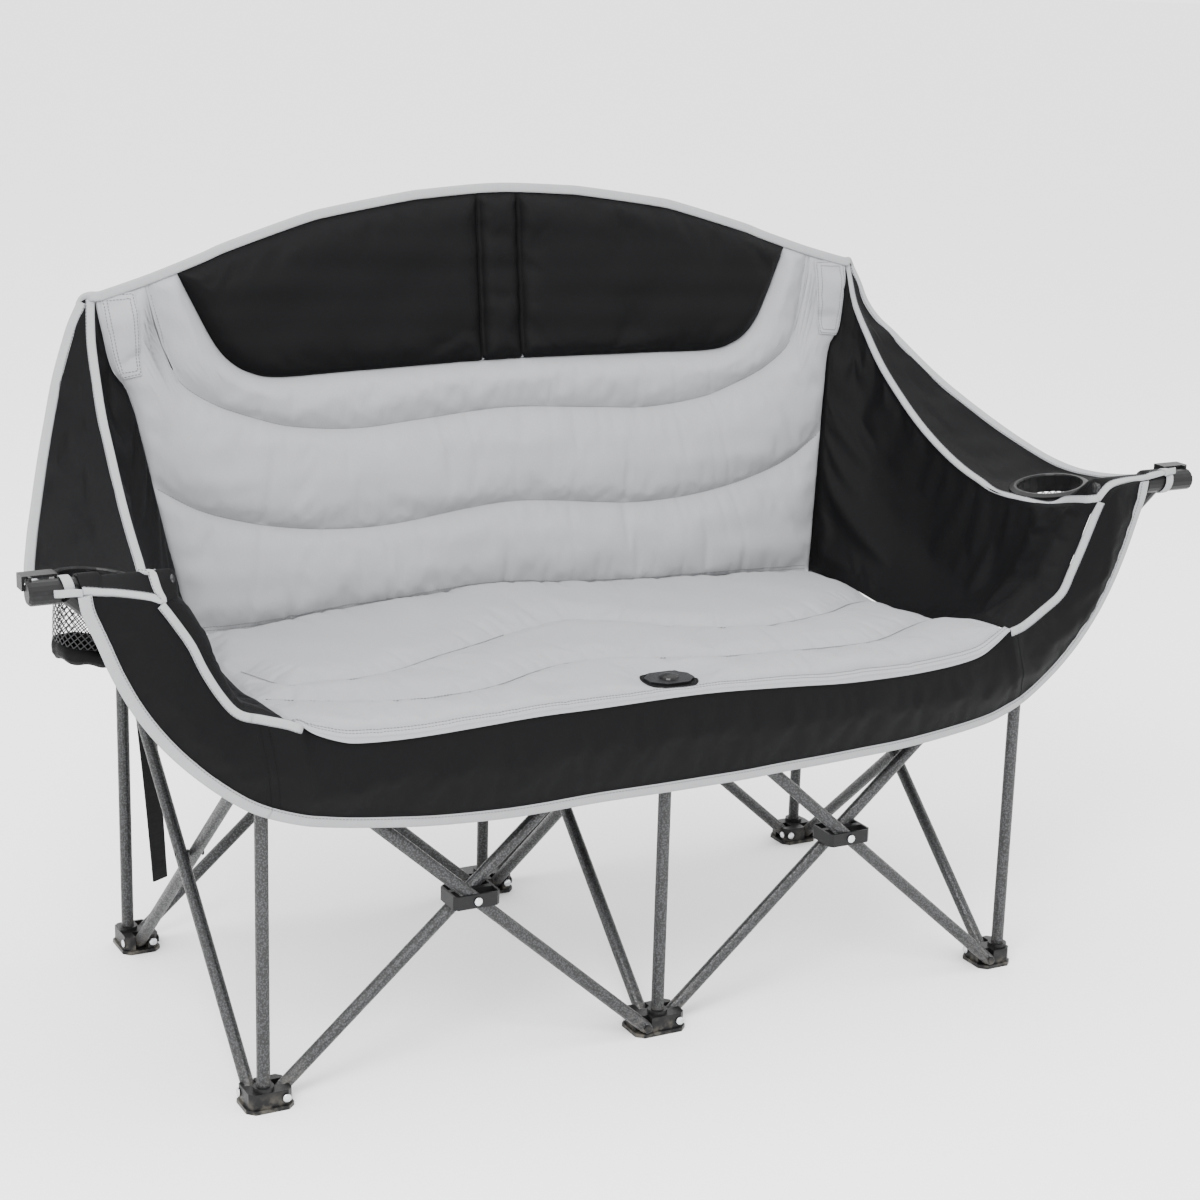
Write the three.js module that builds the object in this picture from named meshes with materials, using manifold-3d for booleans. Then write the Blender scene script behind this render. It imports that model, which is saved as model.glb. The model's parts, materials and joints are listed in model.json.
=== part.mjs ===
// Folding camping loveseat with a padded seat and back.
// Millimetres, +Z up. X runs across the seat, the sitter faces -Y, and the feet stand on z = 0.
// Six moulded feet stand on a grid of square cells. Each cell side is a scissor pair of equal tubes,
// so the whole frame closes together: every tube turns by one angle and every foot stays upright.

import * as THREE from "three";
import { mergeVertices } from "three/addons/utils/BufferGeometryUtils.js";
import Module from "manifold-3d";

const wasm = await Module();
wasm.setup();

// Driving sizes of the frame
const CELL = 520; // spacing of neighbouring posts, across and front to back
const TUBE_D = 16;
const TUBE_WALL = 1.2;
const LOW_PIVOT_Z = 14; // height of the rivets in the feet
const SEAT_PIVOT_Z = 433; // height of the rivets in the seat brackets, chair open
const PIVOT_INSET = 24; // from a post's axis to the rivet of a scissor tube
const HUB_OFFSET = 12; // a front or back tube's plane from its row of posts
const SIDE_OFFSET = 9; // a side tube's plane from its column of posts
const GAP = 0.3; // clearance of seated and turned pieces
const OVERRUN = 2; // how far a cut runs past the face it opens
const SIDES = 16; // facets round a tube
const FEW_SIDES = 8; // facets round a rivet and inside a tube
const HEAD_SIDES = 10;

// Rivets
const RIVET_R = 3;
const RIVET_HEAD_R = 5;
const RIVET_HEAD_H = 1.8;

// Posts
const BACK_POST_TOP = 868;
const CENTRE_POST_TOP = 985;
const FRONT_POST_TOP = 378;
const SLIDER_D = 12.8; // inner post that telescopes in a front post
const SLIDER_WALL = 1;
const SLIDER_BOTTOM = 130;
const SLIDER_BELOW_PIVOT = -3; // its top stands this far above the rivet

// Feet
const FOOT_SOLE = 5;
const FOOT_HEIGHT = 24;
const FOOT_WALL = 3.5;
const FOOT_FRONT = 15; // reach of a foot block in front of its post
const FOOT_EDGE = 3; // the sole stands this far out of the block
const FOOT_CHAMFER = 9;
const SOCKET_R = 12.5; // boss round a post
const SOCKET_TOP = 29;

// Seat brackets on top of the scissor tubes
const BRACKET_BELOW = 12; // below the rivet
const BRACKET_ROOF = 3;
const BRACKET_TOP = 16.7; // above the rivet, where the seat rests

// Hubs at the crossings in front and behind
const HUB_LENGTH = 60;
const HUB_HEIGHT = 17;
const HUB_WALL = 2.8;
const HUB_CHAMFER = 5;

// Arms
const ARM_BAR_Z = 645;
const ARM_BAR_D = 19;
const ARM_BAR_WALL = 1.2;
const ARM_BAR_LENGTH = 157;
const ARM_END_REACH = 42; // the moulded end stands this far out past the strut's joint
const FITTING_D = 27.5;
const FITTING_LENGTH = 75;
const FITTING_END_WALL = 5;
const STRUT_SHORT = 24; // the strut stops this far below the bar's axis
const STRUT_SOCKET = 48; // the socket round the strut reaches this far from the bar's axis
const STRUT_SOCKET_R = 12;
const CLIP_WIDTH = 38;
const CLIP_HEIGHT = 16;
const CLIP_T = 3;
const CLIP_DEPTH = 14;
const CLIP_RISE = 3.5; // the clip's top above the moulded end

// Cup holders
const CUP_TILT = THREE.MathUtils.degToRad(8);
const CUP_RING_R = 54;
const CUP_BORE_R = 44;
const CUP_SLEEVE_T = 2;
const CUP_SLEEVE_H = 20;
const CUP_RIM_H = 5;
const CUP_RIM_LIP = 2;
const POCKET_DEPTH = 96;
const POCKET_T = 1.2;
const POCKET_FOOT_R = 37;
const CUP_SIDES = 24;

// Fabric body
const SEAT_FRONT_REACH = 52; // the pad's front edge stands this far in front of the front posts' row
const SEAT_REAR_SETBACK = 94; // its rear edge stands this far in front of the rear posts' row
const SEAT_SPLIT_Y = 0;
const SEAT_FRONT_INSET = 33; // the pad's front corner stands this far inside the corner post's axis
const SEAT_REAR_INSET = 58;
const PAD_T = 12;
const SEAT_CROWN = 7;
const SEAT_CHANNELS = 5; // sewn channels front to back
const SEAT_CHANNEL_DEPTH = 3;
const SEAT_SAG = 6; // the front edge hangs this much between the brackets
const SEAT_CORNER_RISE = 16;
const BACK_BOTTOM_Z = 452;
const BACK_TOP_Z = 996;
const BACK_CORNER_Z = 877;
const BACK_TOP_OUTSET = 35; // the back's top corner stands this far outside the corner post's axis
const BACK_FOOT_SETBACK = 68; // rear face of the back pad's foot, in front of the rear posts' row
const BACK_TOP_BEHIND = 16; // rear face of its top, behind that row
const BACK_T = 26;
const BACK_CROWN = 6;
const BACK_CHANNELS = 4;
const BACK_CHANNEL_DEPTH = 6;
const CLOTH_T = 5;
const BAND_BOTTOM_Z = 327;
const BAND_END_BOTTOM_Z = 376;
const BAND_TOP_REACH = 51; // the band's upper edge, in front of the front posts' row
const BAND_BOTTOM_REACH = 30;
const PATCH_WIDTH = 60;
const PATCH_DEPTH = 48;
const PATCH_T = 3;
const STEM_R = 6;
const PATCH_DOME_R = 13;
const PATCH_DOME_H = 5;
const STRAP_WIDTH = 28;
const STRAP_T = 2;
const STRAP_END_Z = 132;
const STRAP_TOP_BELOW = 8;

// What follows from the driving sizes
const TUBE_R = TUBE_D / 2;
const FRONT_Y = -CELL / 2;
const BACK_Y = CELL / 2;
const COLUMNS = { left: -CELL, middle: 0, right: CELL };
const ROWS = { front: FRONT_Y, back: BACK_Y };
const SPAN = CELL - 2 * PIVOT_INSET;
const RISE = SEAT_PIVOT_Z - LOW_PIVOT_Z;
const LINK = Math.hypot(SPAN, RISE); // rivet to rivet
const LEAN = Math.atan2(SPAN, RISE); // a tube's angle from upright, chair open
const STRUT = (ARM_BAR_Z - SEAT_PIVOT_Z) / Math.cos(LEAN);
const ARM_JOINT_X = CELL - PIVOT_INSET + STRUT * Math.sin(LEAN);
const ARM_BAR_OUTER = ARM_JOINT_X + ARM_END_REACH; // |x| of the moulded end
const ARM_BAR_INNER = ARM_BAR_OUTER - ARM_BAR_LENGTH;
const FITTING_INNER = ARM_BAR_OUTER - FITTING_LENGTH;
const SEAT_FRONT_Y = FRONT_Y - SEAT_FRONT_REACH;
const SEAT_REAR_Y = BACK_Y - SEAT_REAR_SETBACK;
const BACK_BOTTOM_Y = BACK_Y - BACK_FOOT_SETBACK;
const BACK_TOP_Y = BACK_Y + BACK_TOP_BEHIND;
const BAND_TOP_Y = FRONT_Y - BAND_TOP_REACH;
const BAND_BOTTOM_Y = FRONT_Y - BAND_BOTTOM_REACH;
const SEAT_FRONT_HALF = CELL - SEAT_FRONT_INSET;
const SEAT_REAR_HALF = CELL - SEAT_REAR_INSET;
const BACK_BOTTOM_HALF = SEAT_REAR_HALF;
const BACK_TOP_HALF = CELL + BACK_TOP_OUTSET;
const SLOT_HALF = TUBE_R + GAP;
const POST_BORE = TUBE_R + GAP;

// Materials
const paint = { color: 0x34363a, roughness: 0.45, metalness: 0.75 };
const steel = { color: 0xb9bcc0, roughness: 0.35, metalness: 0.9 };
const plastic = { color: 0x1b1c1e, roughness: 0.5, metalness: 0 };
const grey = { color: 0xb9babc, roughness: 0.95, metalness: 0 };
const black = { color: 0x1c1c1e, roughness: 0.9, metalness: 0 };
const net = { color: 0x101012, roughness: 0.8, metalness: 0 };
const webbing = { color: 0x141416, roughness: 0.85, metalness: 0 };

// Solids: a closed geometry becomes a manifold solid, and goes back to a geometry when it is finished.
function solid(geometry) {
  const bare = (geometry.index ? geometry.toNonIndexed() : geometry.clone());
  bare.deleteAttribute("normal");
  bare.deleteAttribute("uv");
  const merged = mergeVertices(bare);
  return new wasm.Manifold(
    new wasm.Mesh({
      numProp: 3,
      vertProperties: merged.attributes.position.array,
      triVerts: new Uint32Array(merged.index.array),
    }),
  );
}

function geometryOf(made) {
  const mesh = made.getMesh();
  const geometry = new THREE.BufferGeometry();
  geometry.setAttribute("position", new THREE.BufferAttribute(new Float32Array(mesh.vertProperties), 3));
  geometry.setIndex(new THREE.BufferAttribute(new Uint32Array(mesh.triVerts), 1));
  geometry.computeVertexNormals();
  return geometry;
}

function joined(solids) {
  return solids.reduce((all, one) => all.add(one));
}

function box(x0, x1, y0, y1, z0, z1) {
  const geometry = new THREE.BoxGeometry(x1 - x0, y1 - y0, z1 - z0);
  return solid(geometry.translate((x0 + x1) / 2, (y0 + y1) / 2, (z0 + z1) / 2));
}

// A cylinder of radius r from point a to point b.
function rod(a, b, r, sides = SIDES) {
  const from = new THREE.Vector3(...a);
  const along = new THREE.Vector3(...b).sub(from);
  const geometry = new THREE.CylinderGeometry(r, r, along.length(), sides);
  const up = new THREE.Vector3(0, 1, 0);
  const turn = new THREE.Quaternion().setFromUnitVectors(up, along.clone().normalize());
  geometry.applyQuaternion(turn);
  const middle = from.addScaledVector(along, 1 / 2);
  return solid(geometry.translate(middle.x, middle.y, middle.z));
}

// A plate whose outline, a list of [x, y], stands from z0 to z1.
function plate(outline, z0, z1) {
  const shape = new THREE.Shape(outline.map(([x, y]) => new THREE.Vector2(x, y)));
  const geometry = new THREE.ExtrudeGeometry(shape, { depth: z1 - z0, bevelEnabled: false });
  return solid(geometry.translate(0, 0, z0));
}

function chamfered(x0, x1, y0, y1, c) {
  return [
    [x0 + c, y0], [x1 - c, y0], [x1, y0 + c], [x1, y1 - c],
    [x1 - c, y1], [x0 + c, y1], [x0, y1 - c], [x0, y0 + c],
  ];
}

// A solid of revolution about Z from [radius, z] points that start and end on the axis or close.
function turned(profile, sides) {
  const points = profile.map(([r, z]) => new THREE.Vector2(r, z));
  const geometry = new THREE.LatheGeometry(points, sides);
  return solid(geometry.rotateX(Math.PI / 2));
}

// A closed shell between two surfaces of u and v in 0..1, each a function that gives [x, y, z].
function shell(outer, inner, across, along) {
  const rows = across + 1;
  const columns = along + 1;
  const positions = [];
  for (const surface of [outer, inner]) {
    for (let i = 0; i < rows; i++) {
      for (let j = 0; j < columns; j++) positions.push(...surface(i / across, j / along));
    }
  }
  const at = (side, i, j) => side * rows * columns + i * columns + j;
  const index = [];
  const quad = (a, b, c, d) => index.push(a, b, c, a, c, d);
  for (let i = 0; i < across; i++) {
    for (let j = 0; j < along; j++) {
      quad(at(0, i, j), at(0, i + 1, j), at(0, i + 1, j + 1), at(0, i, j + 1));
      quad(at(1, i, j), at(1, i, j + 1), at(1, i + 1, j + 1), at(1, i + 1, j));
    }
    quad(at(0, i, 0), at(1, i, 0), at(1, i + 1, 0), at(0, i + 1, 0));
    quad(at(0, i + 1, along), at(1, i + 1, along), at(1, i, along), at(0, i, along));
  }
  for (let j = 0; j < along; j++) {
    quad(at(0, 0, j + 1), at(1, 0, j + 1), at(1, 0, j), at(0, 0, j));
    quad(at(0, across, j), at(1, across, j), at(1, across, j + 1), at(0, across, j + 1));
  }
  const geometry = new THREE.BufferGeometry();
  geometry.setAttribute("position", new THREE.BufferAttribute(new Float32Array(positions), 3));
  geometry.setIndex(index);
  const made = solid(geometry);
  if (made.volume() > 0) return made;
  for (let k = 0; k < index.length; k += 3) [index[k], index[k + 1]] = [index[k + 1], index[k]];
  geometry.setIndex(index);
  return solid(geometry);
}

const model = new THREE.Group();

function add(name, geometry, look, x = 0, y = 0, z = 0, parent = model) {
  const mesh = new THREE.Mesh(geometry, new THREE.MeshStandardMaterial(look));
  mesh.name = name;
  mesh.position.set(x, y, z);
  parent.add(mesh);
  return mesh;
}

// Scissor tubes. Local frame: lower rivet at the origin, tube along +Z, rivets along Y.
function link(length, { rivetSide = 0, strut = false } = {}) {
  const ends = (z) => rod([0, -TUBE_R, z], [0, TUBE_R, z], TUBE_R);
  const straight = box(-TUBE_R, TUBE_R, -TUBE_R, TUBE_R, 0, length);
  let tube = rod([0, 0, -TUBE_R], [0, 0, length + TUBE_R], TUBE_R);
  tube = tube.intersect(joined([ends(0), straight, strut ? ends(0) : ends(length)]));
  const plug = PIVOT_INSET;
  tube = tube.subtract(rod([0, 0, plug], [0, 0, length - plug], TUBE_R - TUBE_WALL, FEW_SIDES));
  const holes = [0, LINK];
  if (!rivetSide) holes.push(LINK / 2);
  for (const z of holes) {
    tube = tube.subtract(rod([0, -TUBE_D, z], [0, TUBE_D, z], RIVET_R + GAP, FEW_SIDES));
  }
  // Open the hollow of a tube that has no hole at its middle, as the cross-drilled rivet seat does.
  if (rivetSide) {
    const middle = LINK / 2;
    const reach = 2 * SIDE_OFFSET + TUBE_R;
    const spacer = 2 * SIDE_OFFSET - TUBE_D - GAP;
    tube = tube.subtract(rod([0, 0, middle], [0, -rivetSide * TUBE_D, middle], RIVET_R, FEW_SIDES));
    const pin = rod([0, 0, middle], [0, rivetSide * (reach + GAP), middle], RIVET_R, FEW_SIDES);
    const washer = rod(
      [0, rivetSide * (TUBE_R - TUBE_WALL), middle],
      [0, rivetSide * (TUBE_R + spacer), middle],
      RIVET_HEAD_R,
      HEAD_SIDES,
    );
    const head = rod(
      [0, rivetSide * (reach + GAP), middle],
      [0, rivetSide * (reach + GAP + RIVET_HEAD_H), middle],
      RIVET_HEAD_R,
      HEAD_SIDES,
    );
    tube = joined([tube, pin, washer, head]);
  }
  return tube;
}

// The block of a foot or seat bracket. arms lists the scissor tubes that it holds:
// along is "x" or "y", sign the side of the post, and off the tube plane's distance from the post.
function slotBounds({ along, sign, off }, reach) {
  const near = PIVOT_INSET - TUBE_R - 2 * GAP;
  const a = sign > 0 ? [near, reach] : [-reach, -near];
  const b = [off - SLOT_HALF, off + SLOT_HALF];
  return along === "x" ? [...a, ...b] : [...b, ...a];
}

function blockBounds(arms) {
  const reach = PIVOT_INSET + TUBE_R + GAP;
  const side = FOOT_WALL + SLOT_HALF;
  const bounds = { x0: -SOCKET_R, x1: SOCKET_R, y0: -SOCKET_R, y1: SOCKET_R };
  for (const arm of arms) {
    const low = arm.along === "x" ? ["x0", "x1", "y0", "y1"] : ["y0", "y1", "x0", "x1"];
    if (arm.sign > 0) bounds[low[1]] = Math.max(bounds[low[1]], reach);
    else bounds[low[0]] = Math.min(bounds[low[0]], -reach);
    bounds[low[2]] = Math.min(bounds[low[2]], arm.off - side);
    bounds[low[3]] = Math.max(bounds[low[3]], arm.off + side);
  }
  const reachesFront = arms.some((arm) => arm.along === "y" && arm.sign < 0);
  if (!reachesFront) bounds.y0 = Math.max(bounds.y0, -FOOT_FRONT);
  return bounds;
}

// A rivet through a tube and the block beside it, with a head on each side.
function rivet({ along, sign, off }, bounds, z) {
  const at = sign * PIVOT_INSET;
  const lateral = along === "x" ? [bounds.y0, bounds.y1] : [bounds.x0, bounds.x1];
  const low = Math.min(lateral[0], off - SLOT_HALF);
  const high = Math.max(lateral[1], off + SLOT_HALF);
  const point = (side) => (along === "x" ? [at, side, z] : [side, at, z]);
  const insideLow = off - SLOT_HALF > low ? RIVET_HEAD_H : 0;
  const insideHigh = off + SLOT_HALF < high ? RIVET_HEAD_H : 0;
  return joined([
    rod(point(low - RIVET_HEAD_H), point(high + RIVET_HEAD_H), RIVET_R, FEW_SIDES),
    rod(point(low - RIVET_HEAD_H), point(low + insideLow), RIVET_HEAD_R, HEAD_SIDES),
    rod(point(high - insideHigh), point(high + RIVET_HEAD_H), RIVET_HEAD_R, HEAD_SIDES),
  ]);
}

function foot(arms) {
  const b = blockBounds(arms);
  const sole = plate(
    chamfered(b.x0 - FOOT_EDGE, b.x1 + FOOT_EDGE, b.y0 - FOOT_EDGE, b.y1 + FOOT_EDGE, FOOT_CHAMFER),
    0,
    FOOT_SOLE,
  );
  let block = plate(chamfered(b.x0, b.x1, b.y0, b.y1, FOOT_CHAMFER - FOOT_EDGE), 0, FOOT_HEIGHT);
  block = block.add(rod([0, 0, 0], [0, 0, SOCKET_TOP], SOCKET_R));
  for (const arm of arms) {
    const [x0, x1, y0, y1] = slotBounds(arm, 2 * CELL);
    block = block.subtract(box(x0, x1, y0, y1, FOOT_SOLE, SOCKET_TOP + OVERRUN));
  }
  block = block.add(sole).subtract(rod([0, 0, FOOT_SOLE], [0, 0, SOCKET_TOP + OVERRUN], POST_BORE));
  return joined([block, ...arms.map((arm) => rivet(arm, b, LOW_PIVOT_Z))]);
}

// A seat bracket. Local z = 0 at the rivets. strut names the arm whose tube runs on upwards.
function bracket(arms, { boreR, through, strut = null }) {
  const b = blockBounds(arms);
  let block = plate(
    chamfered(b.x0, b.x1, b.y0, b.y1, FOOT_CHAMFER - FOOT_EDGE),
    -BRACKET_BELOW,
    BRACKET_TOP,
  );
  for (const arm of arms) {
    const [x0, x1, y0, y1] = slotBounds(arm, 2 * CELL);
    const roof = arm === strut ? BRACKET_TOP + OVERRUN : BRACKET_TOP - BRACKET_ROOF;
    block = block.subtract(box(x0, x1, y0, y1, -BRACKET_BELOW - OVERRUN, roof));
  }
  if (strut) {
    // The strut's path over the post, cut along the leaning tube and everything above it.
    const reach = 2 * CELL;
    const path = new THREE.BoxGeometry(2 * SLOT_HALF, 2 * SLOT_HALF, reach).translate(0, 0, reach / 2);
    path.rotateY(-strut.sign * LEAN).translate(strut.sign * PIVOT_INSET, strut.off, 0);
    block = block.subtract(solid(path));
    const clear = SLOT_HALF / Math.sin(LEAN);
    const lift = PIVOT_INSET / Math.tan(LEAN) - clear;
    block = block.subtract(
      box(
        b.x0 - OVERRUN, b.x1 + OVERRUN,
        strut.off - SLOT_HALF, strut.off + SLOT_HALF,
        lift, BRACKET_TOP + OVERRUN,
      ),
    );
  }
  const top = through ? BRACKET_TOP + OVERRUN : -SLIDER_BELOW_PIVOT + GAP;
  block = block.subtract(rod([0, 0, -BRACKET_BELOW - OVERRUN], [0, 0, top], boreR));
  return joined([block, ...arms.map((arm) => rivet(arm, b, 0))]);
}

// Scissor tubes that meet each foot and each bracket. A tube that falls to the right stands in front.
const hasLeft = (column) => column !== "left";
const hasRight = (column) => column !== "right";

function footArms(column, row) {
  const arms = [];
  if (hasLeft(column)) arms.push({ along: "x", sign: -1, off: -HUB_OFFSET });
  if (hasRight(column)) arms.push({ along: "x", sign: 1, off: HUB_OFFSET });
  if (row === "front") arms.push({ along: "y", sign: 1, off: -SIDE_OFFSET });
  else arms.push({ along: "y", sign: -1, off: SIDE_OFFSET });
  return arms;
}

function bracketArms(column, row) {
  const arms = [];
  if (hasLeft(column)) arms.push({ along: "x", sign: -1, off: HUB_OFFSET });
  if (hasRight(column)) arms.push({ along: "x", sign: 1, off: -HUB_OFFSET });
  if (row === "front") arms.push({ along: "y", sign: 1, off: SIDE_OFFSET });
  else arms.push({ along: "y", sign: -1, off: -SIDE_OFFSET });
  return arms;
}

function hollowPost(bottom, top, radius, wall) {
  const outer = rod([0, 0, bottom], [0, 0, top], radius);
  return outer.subtract(rod([0, 0, bottom - OVERRUN], [0, 0, top + OVERRUN], radius - wall, SIDES));
}

for (const [column, x] of Object.entries(COLUMNS)) {
  for (const [row, y] of Object.entries(ROWS)) {
    const front = row === "front";
    add(`foot_${row}_${column}`, geometryOf(foot(footArms(column, row))), plastic, x, y);

    const backTop = column === "middle" ? CENTRE_POST_TOP : BACK_POST_TOP;
    const bore = SLIDER_D / 2 + GAP;
    const post = front
      ? hollowPost(FOOT_SOLE + GAP, FRONT_POST_TOP, TUBE_R, TUBE_R - bore)
      : hollowPost(FOOT_SOLE + GAP, backTop, TUBE_R, TUBE_WALL);
    add(`post_${row}_${column}`, geometryOf(post), paint, x, y);
    if (front) {
      const sliderTop = SEAT_PIVOT_Z - SLIDER_BELOW_PIVOT;
      const slider = hollowPost(SLIDER_BOTTOM, sliderTop, SLIDER_D / 2, SLIDER_WALL);
      add(`slider_${row}_${column}`, geometryOf(slider), steel, x, y);
    }

    const arms = bracketArms(column, row);
    const strut = front && column !== "middle" ? arms[0] : null;
    const boreR = front ? SLIDER_D / 2 + GAP : TUBE_R + 2 * GAP;
    const made = bracket(arms, { boreR, through: !front, strut });
    add(`seat_bracket_${row}_${column}`, geometryOf(made), plastic, x, y, SEAT_PIVOT_Z);
  }
}

// Front and back scissors, one cell on each side of the middle, with a moulded hub at each crossing.
function hub() {
  const half = HUB_LENGTH / 2;
  const deep = HUB_OFFSET + SLOT_HALF + HUB_WALL;
  const tall = HUB_HEIGHT / 2;
  let body = plate(chamfered(-half, half, -deep, deep, HUB_CHAMFER), -tall, tall);
  const inside = half - HUB_WALL;
  for (const side of [-1, 1]) {
    const y = side * HUB_OFFSET;
    body = body.subtract(
      box(-inside, inside, y - SLOT_HALF, y + SLOT_HALF, -tall - OVERRUN, tall + OVERRUN),
    );
  }
  const reach = deep + RIVET_HEAD_H;
  return joined([
    body,
    rod([0, -reach, 0], [0, reach, 0], RIVET_R, FEW_SIDES),
    rod([0, -reach, 0], [0, -deep + HUB_WALL / 2, 0], RIVET_HEAD_R),
    rod([0, deep - HUB_WALL / 2, 0], [0, reach, 0], RIVET_HEAD_R),
  ]);
}

const plainLink = geometryOf(link(LINK));
const armLink = geometryOf(link(LINK + STRUT - STRUT_SHORT, { strut: true }));
const hubShape = geometryOf(hub());

for (const [row, y] of Object.entries(ROWS)) {
  for (const side of ["left", "right"]) {
    const s = side === "left" ? -1 : 1;
    const west = s < 0 ? -CELL : 0;
    // The tube that falls to the right, in the front plane, and the one that rises to the right, behind.
    const carriesLeftArm = row === "front" && side === "left";
    const carriesRightArm = row === "front" && side === "right";
    const falling = add(
      `scissor_${row}_${side}_falling`,
      carriesLeftArm ? armLink : plainLink,
      paint,
      west + CELL - PIVOT_INSET,
      y - HUB_OFFSET,
      LOW_PIVOT_Z,
    );
    falling.rotation.y = -LEAN;
    const rising = add(
      `scissor_${row}_${side}_rising`,
      carriesRightArm ? armLink : plainLink,
      paint,
      west + PIVOT_INSET,
      y + HUB_OFFSET,
      LOW_PIVOT_Z,
    );
    rising.rotation.y = LEAN;
    const middle = LOW_PIVOT_Z + RISE / 2;
    add(`hub_${row}_${side}`, hubShape, plastic, west + CELL / 2, y, middle);
  }
}

// Side scissors, one pair under each column, crossed on a plain rivet.
const rivetedLink = geometryOf(link(LINK, { rivetSide: -1 }));
for (const [column, x] of Object.entries(COLUMNS)) {
  const rearward = new THREE.Group();
  rearward.position.set(x - SIDE_OFFSET, FRONT_Y + PIVOT_INSET, LOW_PIVOT_Z);
  rearward.rotation.z = Math.PI / 2;
  model.add(rearward);
  add(`scissor_${column}_rearward`, rivetedLink, paint, 0, 0, 0, rearward).rotation.y = LEAN;
  const forward = new THREE.Group();
  forward.position.set(x + SIDE_OFFSET, BACK_Y - PIVOT_INSET, LOW_PIVOT_Z);
  forward.rotation.z = Math.PI / 2;
  model.add(forward);
  add(`scissor_${column}_forward`, plainLink, paint, 0, 0, 0, forward).rotation.y = -LEAN;
}

// Arm bar, and the moulded end that joins it to the strut and carries the storage clip.
// Local frame of the moulded end: the bar's axis along X, outboard is +X for side 1.
function armFitting(side, off) {
  const out = (x) => side * (x - ARM_JOINT_X);
  const r = FITTING_D / 2;
  const round = CLIP_T;
  const length = ARM_BAR_OUTER - FITTING_INNER;
  const profile = [
    [0, 0], [r - round / 2, 0], [r, round / 2],
    [r, length - round], [r - round, length], [0, length],
  ];
  const sleeve = new THREE.LatheGeometry(profile.map(([a, b]) => new THREE.Vector2(a, b)), SIDES);
  sleeve.rotateZ(-side * Math.PI / 2).translate(out(FITTING_INNER), 0, 0);
  const down = [-side * Math.sin(LEAN), 0, -Math.cos(LEAN)];
  const along = (d) => [down[0] * d, off, down[2] * d];
  const socket = rod(along(0), along(STRUT_SOCKET), STRUT_SOCKET_R);
  const clipX = out(ARM_BAR_OUTER + CLIP_T);
  const x0 = Math.min(clipX, clipX - side * CLIP_WIDTH);
  const x1 = Math.max(clipX, clipX - side * CLIP_WIDTH);
  const top = r + CLIP_RISE;
  const y0 = r / 2;
  const y1 = r + CLIP_DEPTH;
  const clip = box(x0, x1, y0, y1, top - CLIP_HEIGHT, top).subtract(
    box(x0 + CLIP_T, x1 - CLIP_T, y0 - OVERRUN, y1 + OVERRUN, top - CLIP_HEIGHT - OVERRUN, top - CLIP_T),
  );
  const post = box(
    Math.min(out(ARM_BAR_OUTER - CLIP_T), out(ARM_BAR_OUTER - 2 * CLIP_T)),
    Math.max(out(ARM_BAR_OUTER - CLIP_T), out(ARM_BAR_OUTER - 2 * CLIP_T)),
    0, y1, r / 2, top,
  );
  const bore = rod(
    [out(FITTING_INNER - OVERRUN), 0, 0],
    [out(ARM_BAR_OUTER - FITTING_END_WALL), 0, 0],
    ARM_BAR_D / 2 + GAP,
  );
  const strutBore = rod(along(STRUT_SHORT - GAP), along(STRUT_SOCKET + OVERRUN), TUBE_R + GAP);
  return joined([solid(sleeve), socket, clip, post]).subtract(bore).subtract(strutBore);
}

for (const side of [-1, 1]) {
  const name = side < 0 ? "left" : "right";
  const off = side * HUB_OFFSET;
  const fitting = geometryOf(armFitting(side, off));
  add(`arm_end_${name}`, fitting, plastic, side * ARM_JOINT_X, FRONT_Y, ARM_BAR_Z);
  const bar = hollowPost(ARM_BAR_INNER, ARM_BAR_OUTER - FITTING_END_WALL - GAP, ARM_BAR_D / 2, ARM_BAR_WALL);
  const geometry = geometryOf(bar).rotateY((side * Math.PI) / 2);
  add(`arm_bar_${name}`, geometry, paint, 0, FRONT_Y, ARM_BAR_Z);
}

// Cup holders: a moulded ring in the arm cloth and a net pocket hung under its rim.
const sleeveR = CUP_BORE_R + CUP_SLEEVE_T;
const ringShape = geometryOf(
  turned(
    [
      [CUP_BORE_R, -CUP_SLEEVE_H],
      [sleeveR, -CUP_SLEEVE_H],
      [sleeveR, 0],
      [CUP_RING_R, 0],
      [CUP_RING_R, CUP_RIM_LIP],
      [CUP_RING_R - CUP_RIM_LIP, CUP_RIM_LIP + CUP_RIM_LIP / 2],
      [sleeveR + CUP_RIM_LIP, CUP_RIM_H],
      [CUP_BORE_R + CUP_RIM_LIP / 2, CUP_RIM_H],
      [CUP_BORE_R, CUP_RIM_H - CUP_RIM_LIP],
      [CUP_BORE_R, -CUP_SLEEVE_H],
    ],
    CUP_SIDES,
  ),
);
const pocketTopR = sleeveR + GAP;
const pocketShape = geometryOf(
  turned(
    [
      [0, -POCKET_DEPTH],
      [POCKET_FOOT_R, -POCKET_DEPTH],
      [POCKET_FOOT_R + POCKET_T, -POCKET_DEPTH + POCKET_T],
      [pocketTopR + POCKET_T, -CUP_SLEEVE_H],
      [pocketTopR + POCKET_T, -GAP],
      [pocketTopR, -GAP],
      [pocketTopR, -CUP_SLEEVE_H],
      [POCKET_FOOT_R, -POCKET_DEPTH + 2 * POCKET_T],
      [0, -POCKET_DEPTH + 2 * POCKET_T],
    ],
    CUP_SIDES,
  ),
);
// Soft forms. mix runs straight from a to b, and lobe is a row of rounded puffs between sewn lines.
const mix = (a, b, t) => a + (b - a) * t;
const lobe = (t, count) => Math.abs(Math.sin(Math.PI * t * count));
const bell = (t) => Math.sin(Math.PI * t);

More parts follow.
